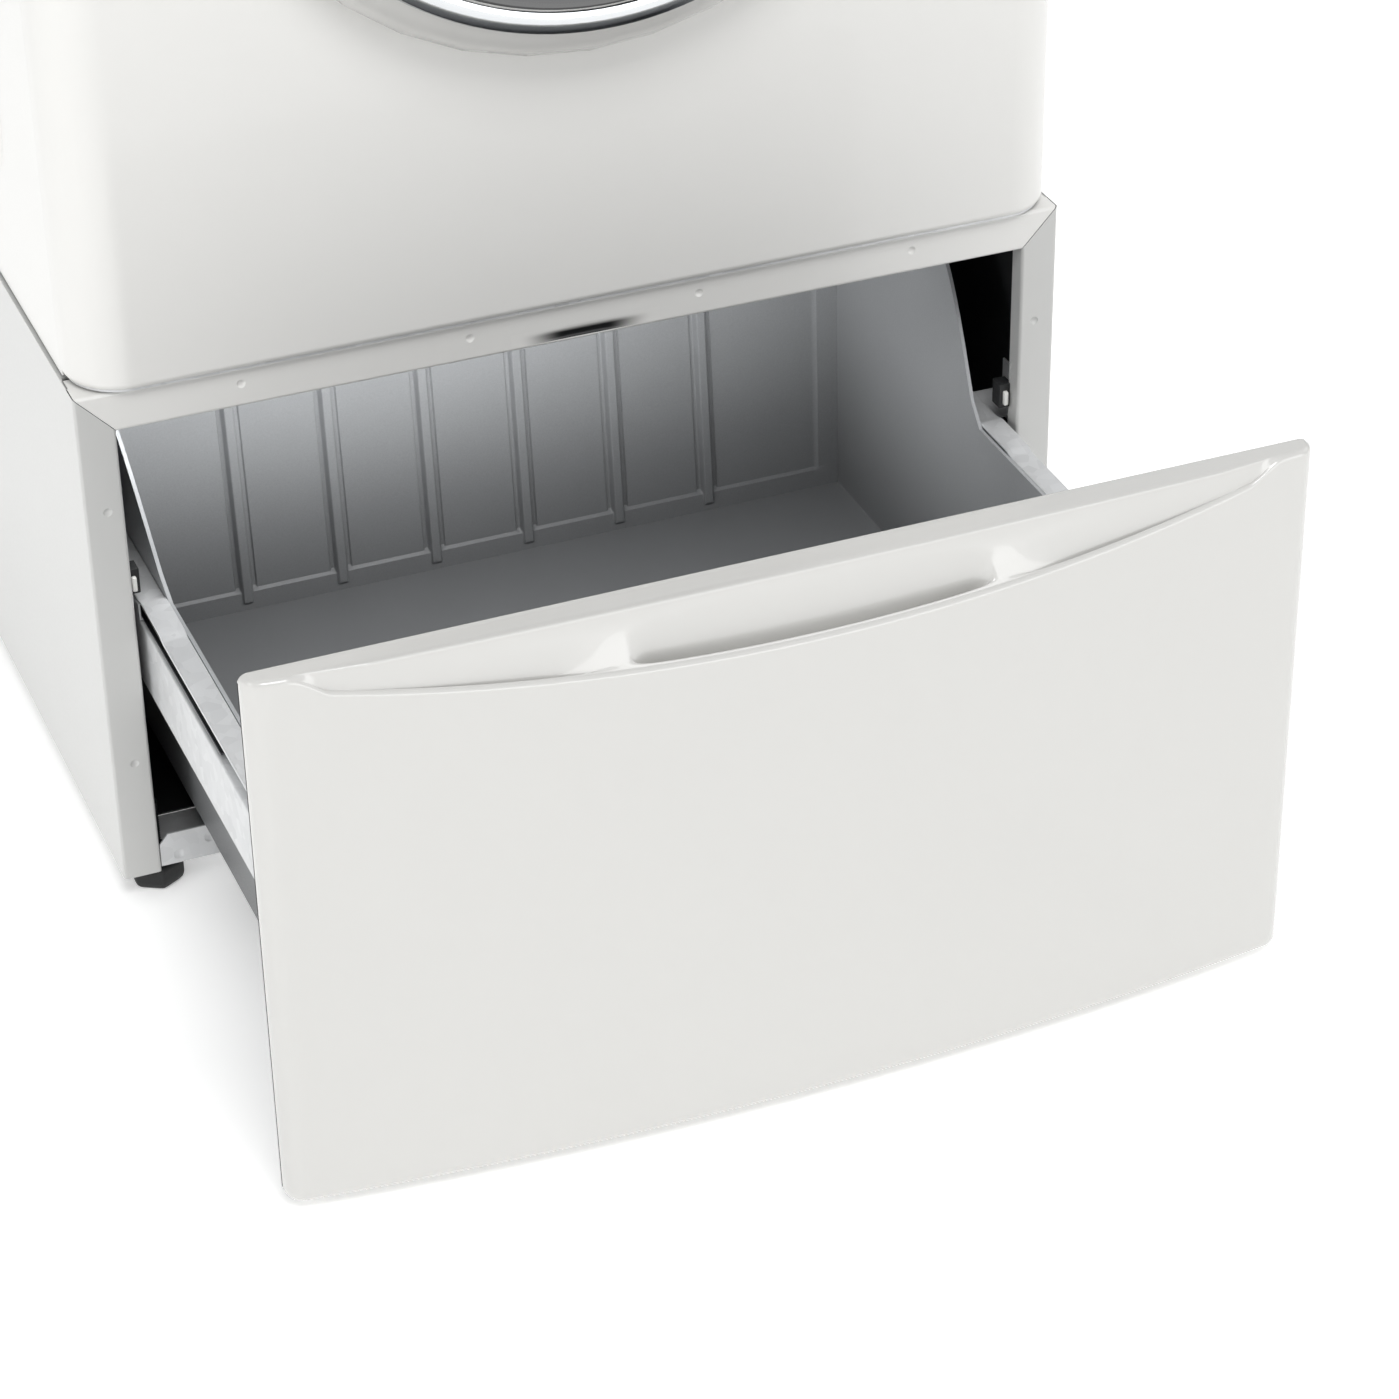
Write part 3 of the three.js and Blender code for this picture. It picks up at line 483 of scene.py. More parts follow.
def enamel(shade="enamel"):
    """Porcelain enamel fired on sheet steel: white, glassy and faintly uneven like orange peel."""
    material, tree, shader = new_material(f"sprayed white {shade} on steel")
    if tree:
        white = getattr(bpy.context.scene.washer_colours, shade)
        place, colour = varied_colour(tree, white, 0.012, 90)
        tree.links.new(colour, shader.inputs["Base Color"])
        set_shader(shader, ior=1.5, coat=0.35, coat_rough=0.08)
        grain = rippled(tree, shader, place, 2.4, 0.012)
        spread_roughness(tree, shader, grain.outputs["Fac"], 0.3, 0.36)
    return material


def painted_relief_shade():
    """Painted shade in the finger relief: near-black fading into the white enamel at both ends and at its
    top.
    """
    material, tree, shader = new_material("black grip paint over enamel")
    if tree:
        place = add(tree, "ShaderNodeTexCoord").outputs["Object"]
        axes = add(tree, "ShaderNodeSeparateXYZ", {"Vector": place})
        off = add(tree, "ShaderNodeMath", {0: axes.outputs["X"]}, operation="ABSOLUTE")
        top = (RAIL_BOTTOM + 10.5) * MM
        ends, rise = (
            add(
                tree, "ShaderNodeMapRange",
                {"Value": source, "From Min": white_from, "From Max": black_from},
                interpolation_type="SMOOTHSTEP",
            )
            for source, white_from, black_from in (
                (off.outputs[0], 47 * MM, 16 * MM), (axes.outputs["Z"], top, top - 4 * MM),
            )
        )
        both = add(tree, "ShaderNodeMath", {0: ends.outputs[0], 1: rise.outputs[0]}, operation="MULTIPLY")
        enamel_white = bpy.context.scene.washer_colours.enamel
        blend = add(
            tree, "ShaderNodeMix",
            {"Factor": both.outputs[0], "A": rgba(enamel_white), "B": rgba(linear("#0A0B0C"))},
            data_type="RGBA",
        )
        tree.links.new(result(blend), shader.inputs["Base Color"])
        set_shader(shader, ior=1.5)
        grain = rippled(tree, shader, place, 2.4, 0.012)
        spread_roughness(tree, shader, grain.outputs["Fac"], 0.3, 0.38)
    return material


def painted_shade_steel():
    """Inner faces of the casing: near-black painted shade on steel, so the cavity stays almost black."""
    material, tree, shader = new_material("dark primed steel inside the casing")
    if tree:
        place, colour = varied_colour(tree, linear("#17191B"), 0.25, 14)
        tree.links.new(colour, shader.inputs["Base Color"])
        set_shader(shader, rough=0.62, ior=1.5)
        rippled(tree, shader, place, 3.0, 0.03)
    return material


def gloss_plastic():
    """Injection-moulded white ABS polished in the tool: deep gloss, with a very long soft waviness."""
    material, tree, shader = new_material("polished white ABS")
    if tree:
        place, colour = varied_colour(tree, bpy.context.scene.washer_colours.gloss, 0.01, 120)
        tree.links.new(colour, shader.inputs["Base Color"])
        set_shader(shader, ior=1.53, coat=0.6, coat_rough=0.04)
        wave = rippled(tree, shader, place, 34.0, 0.05, 1.0)
        spread_roughness(tree, shader, wave.outputs["Fac"], 0.17, 0.22)
    return material


def galvanised():
    """Hot-dip galvanised sheet: dull silver in frozen crystals about 9 mm wide, each turned its own way."""
    material, tree, shader = new_material("galvanised sheet steel")
    if tree:
        zinc = bpy.context.scene.washer_colours.zinc
        dull = rgba([c * 0.93 for c in zinc])
        bright = rgba([min(1, c * 1.05) for c in zinc])
        place = add(tree, "ShaderNodeTexCoord").outputs["Object"]
        crystals = add(
            tree, "ShaderNodeTexVoronoi", {"Vector": place, "Scale": pitch(9), "Randomness": 1.0}
        )
        tone = add(tree, "ShaderNodeSeparateColor", {"Color": crystals.outputs["Color"]})
        shades = add(
            tree, "ShaderNodeMix", {"Factor": tone.outputs["Red"], "A": dull, "B": bright}, data_type="RGBA"
        )
        tree.links.new(result(shades), shader.inputs["Base Color"])
        set_shader(shader, metal=0.25)
        spread_roughness(tree, shader, tone.outputs["Green"], 0.34, 0.46)
        grain = add(tree, "ShaderNodeTexNoise", {"Vector": place, "Scale": pitch(1.6), "Detail": 2.0})
        bump = add(tree, "ShaderNodeBump", {"Height": grain.outputs["Fac"], "Distance": 0.01 * MM})
        tree.links.new(bump.outputs["Normal"], shader.inputs["Normal"])
    return material


def slide_steel():
    """Cold-rolled steel of the slides under a film of grease: dark, drawn along its length."""
    material, tree, shader = new_material("greased cold-rolled steel")
    if tree:
        place = add(tree, "ShaderNodeTexCoord").outputs["Object"]
        drawn = add(tree, "ShaderNodeMapping", {"Vector": place, "Scale": (1.0, 0.02, 1.0)})
        lines = add(
            tree, "ShaderNodeTexNoise",
            {"Vector": drawn.outputs["Vector"], "Scale": pitch(0.9), "Detail": 3.0},
        )
        shades = add(
            tree, "ShaderNodeMix",
            {"Factor": lines.outputs["Fac"], "A": rgba(linear("#3A3C3E")), "B": rgba(linear("#7C7E80"))},
            data_type="RGBA",
        )
        tree.links.new(result(shades), shader.inputs["Base Color"])
        set_shader(shader, metal=1.0, coat=0.3, coat_rough=0.2)
        spread_roughness(tree, shader, lines.outputs["Fac"], 0.28, 0.42)
    return material


def grained_plastic():
    """Grey polypropylene from a spark-etched tool: a fine even grain, drawn as coarse as 1.1 mm to show,
    and painted shade that darkens it towards the floor.
    """
    material, tree, shader = new_material("etched grey polypropylene")
    if tree:
        place, colour = varied_colour(tree, bpy.context.scene.washer_colours.grey, 0.03, 60)
        speckle = add(tree, "ShaderNodeTexNoise", {"Vector": place, "Scale": pitch(1.1), "Detail": 3.0})
        dark = add(
            tree, "ShaderNodeMix",
            {"Factor": speckle.outputs["Fac"], "A": (0.86, 0.86, 0.86, 1), "B": (1.12, 1.12, 1.12, 1)},
            data_type="RGBA",
        )
        both = add(
            tree, "ShaderNodeMix", {"Factor": 1.0, "A": colour, "B": result(dark)},
            data_type="RGBA", blend_type="MULTIPLY",
        )
        set_shader(shader, ior=1.49)
        # painted shade: the colour is drawn darker towards the floor, where the bottom of the deep drawer
        # lies in shade
        height = add(tree, "ShaderNodeSeparateXYZ", {"Vector": place})
        painted_floor_shade = add(
            tree, "ShaderNodeMapRange",
            {"Value": height.outputs["Z"], "From Min": 0.05, "From Max": 0.24, "To Min": 0.31},
            interpolation_type="SMOOTHSTEP",
        )
        shade = add(
            tree, "ShaderNodeVectorMath", {0: result(both), 1: painted_floor_shade.outputs[0]}, operation="MULTIPLY"
        )
        tree.links.new(shade.outputs[0], shader.inputs["Base Color"])
        bump = add(tree, "ShaderNodeBump", {"Height": speckle.outputs["Fac"], "Distance": 0.06 * MM})
        tree.links.new(bump.outputs["Normal"], shader.inputs["Normal"])
        spread_roughness(tree, shader, speckle.outputs["Fac"], 0.4, 0.52)
    return material


def plain_surface(name, colour, rough, spread=0.06, cloud=40, grain=2.0, height=0.02, **values):
    """A surface of one colour with slow clouds and a fine relief, for the sizes given in millimetres."""
    material, tree, shader = new_material(name)
    if tree:
        place, shade = varied_colour(tree, linear(colour), spread, cloud)
        tree.links.new(shade, shader.inputs["Base Color"])
        set_shader(shader, **values)
        relief = rippled(tree, shader, place, grain, height)
        spread_roughness(tree, shader, relief.outputs["Fac"], rough - 0.04, rough + 0.04)
    return material


def rubber():
    """Moulded black rubber: matt, with a faint bloom in clouds."""
    return plain_surface("moulded black rubber", "#1A1B1C", 0.62, 0.3, 18, 1.4, 0.03, ior=1.52)


def gasket_rubber():
    """Grey EPDM of the door bellows: soft satin, wiped smooth."""
    return plain_surface("grey EPDM rubber", "#77797B", 0.48, 0.08, 30, 2.2, 0.02, ior=1.5)


def filled_plastic():
    """Glass-filled polypropylene of the outer tub: off-white and dull, with short fibre flecks."""
    return plain_surface("glass-filled polypropylene", "#C9C6BC", 0.58, 0.08, 7, 1.2, 0.04, ior=1.5)


def cast_metal():
    """Die-cast aluminium: pale grey with the tool's soft skin and clouds of flow."""
    return plain_surface("die-cast aluminium", "#A9ABAC", 0.46, 0.12, 22, 1.5, 0.05, metal=0.9)


def iron():
    """Grey cast iron from a sand mould: dark, rough, grains about 1 mm wide."""
    return plain_surface("sand-cast iron", "#4A4B4C", 0.72, 0.2, 9, 1.0, 0.15, metal=0.6)


def ground_steel():
    """Ground bearing steel: bright and even."""
    return plain_surface("ground bearing steel", "#B9BABB", 0.22, 0.05, 30, 0.8, 0.004, metal=1.0)


def chrome():
    """Bright chromium plate on plastic: a clear mirror with a slightly uneven skin."""
    return plain_surface("bright chromium plate", "#D4D6D8", 0.1, 0.02, 80, 30, 0.02, metal=1.0)


def dark_window():
    """Smoked acrylic of the display: nearly black and polished."""
    return plain_surface(
        "smoked acrylic", "#0B0C0E", 0.08, 0.1, 60, 40, 0.01, ior=1.49, coat=0.5, coat_rough=0.03
    )


def lit_lamp():
    """Frosted acrylic over a lamp: a soft, pale blue-white glow."""
    material = plain_surface("frosted acrylic over a lamp", "#CFE3EE", 0.5, 0.03, 10, 1.0, 0.004, ior=1.49)
    shader = material.node_tree.nodes["Principled BSDF"]
    shader.inputs["Emission Color"].default_value = rgba(linear("#BFE0F2"))
    shader.inputs["Emission Strength"].default_value = 0.5
    return material


def clear_glass():
    """Pressed borosilicate of the door bowl: clear, with the long waves of pressing."""
    material, tree, shader = new_material("pressed door glass")
    if tree:
        place, colour = varied_colour(tree, linear("#DCE4E6"), 0.02, 120)
        tree.links.new(colour, shader.inputs["Base Color"])
        set_shader(shader, rough=0.03, ior=1.08, transmission=0.94, coat=1.0, coat_rough=0.02)
        rippled(tree, shader, place, 60, 0.2, 1.0)
    return material


def brushed_stainless():
    """Stainless sheet brushed round the drum, with its fine lines drawn as coarse as 1 mm to show."""
    material, tree, shader = new_material("brushed stainless steel")
    if tree:
        place = add(tree, "ShaderNodeTexCoord").outputs["Object"]
        drawn = add(tree, "ShaderNodeMapping", {"Vector": place, "Scale": (0.05, 1.0, 0.05)})
        lines = add(
            tree, "ShaderNodeTexNoise",
            {"Vector": drawn.outputs["Vector"], "Scale": pitch(1), "Detail": 4.0},
        )
        shades = add(
            tree, "ShaderNodeMix",
            {"Factor": lines.outputs["Fac"], "A": rgba(linear("#9C9EA0")), "B": rgba(linear("#C9CBCC"))},
            data_type="RGBA",
        )
        tree.links.new(result(shades), shader.inputs["Base Color"])
        set_shader(shader, metal=1.0, aniso=0.4)
        spread_roughness(tree, shader, lines.outputs["Fac"], 0.2, 0.32)
    return material


# ---- the drawer front ----
BOW = 23.0
END_DEPTH = 15.0
CRESCENT = 335.0
POCKET_HALF = 119.0


def front_face(x, sizes):
    """The y of the bowed front face at x."""
    y = DRAWER_BACK - END_DEPTH - BOW * (1 - (x / DRAWER_HALF) ** 2)
    corner = sizes.corner / MM
    past = abs(x) - (DRAWER_HALF - corner)
    return y + (corner - math.sqrt(max(0.0, corner * corner - past * past)) if past > 0 else 0.0)


def end_drop(x, radius):
    """How far the top and bottom edges round away at the drawer front's ends."""
    past = abs(x) - (DRAWER_HALF - radius)
    return radius - math.sqrt(max(0.0, radius * radius - past * past)) if past > 0 else 0.0


def drawer_column(x, sizes):
    """One upright outline of the drawer front at x, as (y, z), from its back top edge round to its back."""
    edge, scoop, pocket = sizes.edge / MM, sizes.scoop / MM, sizes.pocket / MM
    face = front_face(x, sizes)
    share = max(0.0, 1 - (x / CRESCENT) ** 2)
    depth = edge - 0.5 + (scoop - 0.5) * share**0.9
    upper = max(-369.5 + 5 * (x / 310) ** 2, face + edge)
    blend = ease(292, 318, abs(x))
    trough = 9.0 * (1 - ease(190, 305, abs(x))) * ease(112, 182, abs(x))
    rim = abs(x) / POCKET_HALF
    back = DRAWER_BACK - 0.2
    points = [(back, -1.6), (back - 0.5, -0.5), (back - 1.6, 0.0)]
    points += [(mix(back - 1.6, upper + 1.2, i / 4), 0.0) for i in range(1, 4)]
    points += [(upper + 1.2, 0.0), (upper + 0.35, -0.35 * (1 - blend)), (upper, -1.2 * (1 - blend))]
    steps = 64
    lip = 3.0
    for i in range(1, steps + 1):
        t = i / steps
        y = mix(upper, face + lip, t**1.2)
        z = -mix(1.2, depth, t**0.82)
        if rim < 1:
            start, finish = mix(0.1, 0.3, rim**6), mix(0.965, 0.93, rim**8)
            deepest = mix(start, finish, 0.66)
            hollow = ease(start, deepest, t) * (1 - ease(deepest, finish, t)) * (1 - ease(0.84, 1, rim))
            z -= pocket * hollow
            y += 0.12 * pocket * hollow
        groove = ease(0.25, 0.8, t) * (1 - ease(0.84, 0.99, t))
        z -= trough * groove
        turn = math.radians(45 * t)
        arc = (face + edge - edge * math.sin(turn), -edge + edge * math.cos(turn))
        points.append((mix(y, arc[0], blend), mix(z, arc[1], blend)))
    for i in range(1, 7):
        turn = math.radians(15 * i)
        y, z = face + lip - lip * math.sin(turn), -depth - lip + lip * math.cos(turn)
        half_turn = math.radians(45 + 7.5 * i)
        arc = (face + edge - edge * math.sin(half_turn), -edge + edge * math.cos(half_turn))
        points.append((mix(y, arc[0], blend), mix(z, arc[1], blend)))
    top = points[-1][1]
    low = DRAWER_LOW.z - PEDESTAL_TOP
    round_low = 6.0
    points += [(face, mix(top, low + round_low, i / 14)) for i in range(1, 15)]
    for i in range(1, 6):
        turn = math.radians(18 * i)
        points.append((face + round_low * (1 - math.cos(turn)), low + round_low * (1 - math.sin(turn))))
    points += [(back - 1.6, low), (back - 0.5, low + 0.5), (back, low + 1.6)]
    points += [(back, mix(low + 1.6, -1.6, i / 6)) for i in range(1, 6)]
    drop = end_drop(x, 6.0)
    height = -low
    return [(min(y, back), PEDESTAL_TOP - drop + z * (height - 2 * drop) / height) for y, z in points]


class WASHER_OT_drawer_front(bpy.types.Operator):
    """Bowed drawer front with its crescent hand scoop, finger pocket and rolled lip"""

    bl_idname = "washer.drawer_front"
    bl_label = "Drawer front"

    def execute(self, context):
        sizes = context.scene.washer_sizes
        corner = sizes.corner / MM
        flat = DRAWER_HALF - corner
        count = 300
        xs = [mix(-flat, flat, i / count) for i in range(count + 1)]
        ends = [flat + corner * math.sin(math.radians(9 * i)) for i in range(1, 11)]
        xs = [-x for x in reversed(ends)] + xs + ends
        rows = []
        for x in xs:
            column = drawer_column(x, sizes)
            rows.append([(x, y, z) for y, z in (*column, column[0])])
        piece = formed("drawer_front_moulding", rows, wrap=True, caps=True)
        smooth(piece, 65)
        finished(piece, gloss_plastic(), "white_gloss_plastic", "drawer", "drawer_front")
        return {"FINISHED"}


# ---- the storage tub ----
RIB_XS = (-180, -108, -36, 36, 108, 180)
TUB_FLOOR = TUB_LOW.z + 2.5
TUB_RIM = TUB_HIGH.z
LOW_RIM = 221.0
TUB_FRONT = TUB_LOW.y + 2.5
TUB_LEAN = 24.0
TUB_BACK = TUB_HIGH.y - 2.5 - TUB_LEAN
SWOOSH = ((12, LOW_RIM), (58, 290), (85, TUB_RIM), (150, TUB_RIM))


def rim_height(y):
    """Height of the tub's rim along its side: low beside the rails, then a sweep up to the raised back."""
    if y <= SWOOSH[0][0]:
        return LOW_RIM
    if y >= SWOOSH[-1][0]:
        return TUB_RIM
    low, high = 0.0, 1.0
    for _ in range(24):
        middle = (low + high) / 2
        if bezier(SWOOSH, middle).x < y:
            low = middle
        else:
            high = middle
    return bezier(SWOOSH, low).y


def half_width(z):
    if z < LOW_RIM:
        return mix(286, 290.4, (z - TUB_FLOOR) / (LOW_RIM - TUB_FLOOR))
    return mix(290.4, 300, (z - LOW_RIM) / (TUB_RIM - LOW_RIM))


def back_y(z):
    return TUB_BACK + TUB_LEAN * (z - TUB_FLOOR) / (TUB_RIM - TUB_FLOOR)


def rib_relief(x, z, rib):
    """How far the back wall stands forward at (x, z): a base, ledged panels and a ridge per channel."""
    off = min(abs(x - rib_x) for rib_x in RIB_XS)
    lift = z - TUB_FLOOR
    base = 3.4 * max(1 - ease(14, 17, lift), ease(266, 270, abs(x)))
    panel = 1.6 * ease(7.6, 8.5, off)
    ridge = rib * (1 - ease(3.2, 4.8, off)) * ease(4, 7, lift)
    return max(base, panel, ridge)


class WASHER_OT_storage_tub(bpy.types.Operator):
    """Grey moulded storage tub with a swept rim and a ribbed back wall"""

    bl_idname = "washer.storage_tub"
    bl_label = "Storage tub"

    def execute(self, context):
        rib = context.scene.washer_sizes.rib / MM
        near = (0, 1.2, 2.2, 3.2, 4.0, 4.8, 6.2, 7.6, 8.5, 9.5, 11)
        between = (18, 54, 72, 90, 126, 144, 162, 200, 218, 236, 254, 264, 266, 268, 270, 278)
        xs = {0.0}
        for way in (-1, 1):
            xs |= {rib_x + way * d for rib_x in RIB_XS for d in near} | {way * x for x in between}
        xs = [-286.0, *sorted(xs), 286.0]
        lifts = (0, 4, 5.5, 7, 10, 14, 15, 16, 17, 20, 26, 36)
        wall = TUB_RIM - TUB_FLOOR
        shares = sorted({lift / wall for lift in lifts} | {i / 18 for i in range(3, 19)})
        ys = [TUB_FRONT + 24 * i for i in range(15)] + [12 + 6 * i for i in range(24)]
        ys += [170, 195, 220, TUB_BACK]
        ys = sorted({y for y in ys if y <= TUB_BACK})
        along = [(y - TUB_FRONT) / (TUB_BACK - TUB_FRONT) for y in ys]

        def place(s, share):
            """A point of the side wall: (half width, y, z)."""
            z = LOW_RIM
            for _ in range(12):
                y = TUB_FRONT + s * (back_y(z) - TUB_FRONT)
                z = mix(z, rim_height(y), 0.7)
            z = mix(TUB_FLOOR, z, share)
            return half_width(z), TUB_FRONT + s * (back_y(z) - TUB_FRONT), z

        def across(x, z):
            """Column x at height z: the outer columns spread with the side walls."""
            if abs(x) <= 200:
                return x
            return math.copysign(mix(200, half_width(z), (abs(x) - 200) / 86), x)

        parts = []
        for side in (-1, 1):
            rows = []
            for s in along:
                rows.append([(side * w, y, z) for w, y, z in (place(s, share) for share in shares)])
            parts.append(formed("tub_side", rows))
        floor = [[(x, TUB_FRONT + s * (TUB_BACK - TUB_FRONT), TUB_FLOOR) for x in xs] for s in along]
        parts.append(formed("tub_floor", floor))
        back, front = [], []
        for share in shares:
            z = mix(TUB_FLOOR, TUB_RIM, share)
            back.append([(across(x, z), back_y(z) - rib_relief(x, z, rib), z) for x in xs])
            z = mix(TUB_FLOOR, LOW_RIM, share)
            front.append([(across(x, z), TUB_FRONT, z) for x in xs])
        parts += [formed("tub_back", back), formed("tub_front", front)]
        piece = close_mesh(joined("storage_tub_moulding", parts), 0.05)
        lowest = min(piece.data.polygons, key=lambda face: face.center.z)
        if lowest.normal.z < 0:
            in_edit(piece, bpy.ops.mesh.flip_normals)
        inner_corners = {"width": 5 * MM, "segments": 3, "angle_limit": math.radians(62)}
        rim_edges = {"width": 0.7 * MM, "segments": 2, "angle_limit": math.radians(70)}
        with_modifier(piece, "BEVEL", limit_method="ANGLE", **inner_corners)
        with_modifier(piece, "SOLIDIFY", thickness=2.5 * MM, offset=-1)
        with_modifier(piece, "BEVEL", limit_method="ANGLE", **rim_edges)
        smooth(piece, 38)
        finished(piece, grained_plastic(), "grey_plastic", "drawer", "storage_tub")
        return {"FINISHED"}


# ---- the pedestal ----
FOOT_X = (box_mm("front_right_foot")[0].x + box_mm("front_right_foot")[1].x) / 2
FOOT_YS = [
    (box_mm(f"{end}_right_foot")[0].y + box_mm(f"{end}_right_foot")[1].y) / 2 for end in ("front", "rear")
]


def painted_shade_inside(piece, inside):
    """Gives the near-black painted shade to the faces for which inside(centre, normal) holds."""
    piece.data.materials.append(painted_shade_steel())
    for face in piece.data.polygons:
        if inside(face.center, face.normal):
            face.material_index = 1
    return piece


class WASHER_OT_pedestal_sides(bpy.types.Operator):
    """Folded steel sides with their front flanges, mitred to the top rail, and pressed dimples"""

    bl_idname = "washer.pedestal_sides"
    bl_label = "Pedestal sides"

    def execute(self, context):
        sizes = context.scene.washer_sizes
        radius = sizes.bend / MM
        inner = radius - SHEET
        for name, side in SIDES:
            fold = 20.0
            points = [
                (HALF_WIDTH, 0), (HALF_WIDTH, DEPTH), (HALF_WIDTH - fold, DEPTH),
                (HALF_WIDTH - fold, DEPTH - SHEET), (HALF_WIDTH - SHEET, DEPTH - SHEET),
                (HALF_WIDTH - SHEET, SHEET), (OPENING + SHEET, SHEET), (OPENING + SHEET, LIP),
                (OPENING, LIP), (OPENING, 0),
            ]
            radii = [radius, radius, 0, 0, inner, inner, inner, 0, 0, radius]
            outline = [(side * x, y) for x, y in rounded(points, radii)]
            heights = [FOOT_HEIGHT, PEDESTAL_TOP]
            piece = swept(
                f"pedestal_{name}_side_sheet", outline, [lambda x, y, z=z: (x, y, z) for z in heights]
            )
            mitre = block("mitre_tool", -30, 30, -5, LIP + 2, -60, 60)
            corner = (side * (OPENING - 0.3), RAIL_BOTTOM)
            tilt = math.atan2(RAIL_HEIGHT, FLANGE)
            shift = Matrix.Translation(at(corner[0], 0, corner[1]))
            turn = Matrix.Rotation(-side * tilt, 4, "Y")
            back = Matrix.Translation(-at(0, 0, 0))
            reach = Matrix.Translation(Vector((side * 10 * MM, 0, 60 * MM)))
            mitre.data.transform(shift @ turn @ reach @ back)
            cut_by(piece, mitre)
            places = [(side * 328, 0, 300.5), (side * 328, 0, 108)]
            pressed_dimples(piece, places, sizes.dimple / MM)
            wall, fold_end = side * (HALF_WIDTH - 0.6), 650
            top_fold = (PEDESTAL_TOP - SHEET, PEDESTAL_TOP - 0.1)
            low_fold = (FOOT_HEIGHT + 0.1, FOOT_HEIGHT + SHEET)
            top = block("side_fold", side * (HALF_WIDTH - 22), wall, 32, fold_end, *top_fold)
            low = block("side_fold", side * (HALF_WIDTH - 40), wall, LIP + 1, fold_end, *low_fold)
            for y in FOOT_YS:
                bpy.ops.object.select_all(action="DESELECT")
                bpy.ops.mesh.primitive_cylinder_add(
                    vertices=32, radius=6 * MM, depth=20 * MM, location=at(side * FOOT_X, y, FOOT_HEIGHT)
                )
                cut_by(low, settle(named("hole_tool")))
            piece = joined(f"pedestal_{name}_side_sheet", [piece, top, low])
            smooth(piece, 30)
            weighted(piece)
            # the sides take the greyer pedestal enamel, which is painted shade
            finished(piece, enamel("pedestal"), "white_enamel", "cabinet", f"pedestal_{name}_side")
            # the sides' inner faces and the backs of the flanges get near-black painted shade
            limit = (OPENING + SHEET + 2) * MM
            painted_shade_inside(
                piece,
                lambda c, n: n.x * side < -0.7 and abs(c.x) > limit and c.y > FRONT_PLANE + 3 * MM
                or n.y > 0.7 and c.y < FRONT_PLANE + 5 * MM,
            )
        return {"FINISHED"}


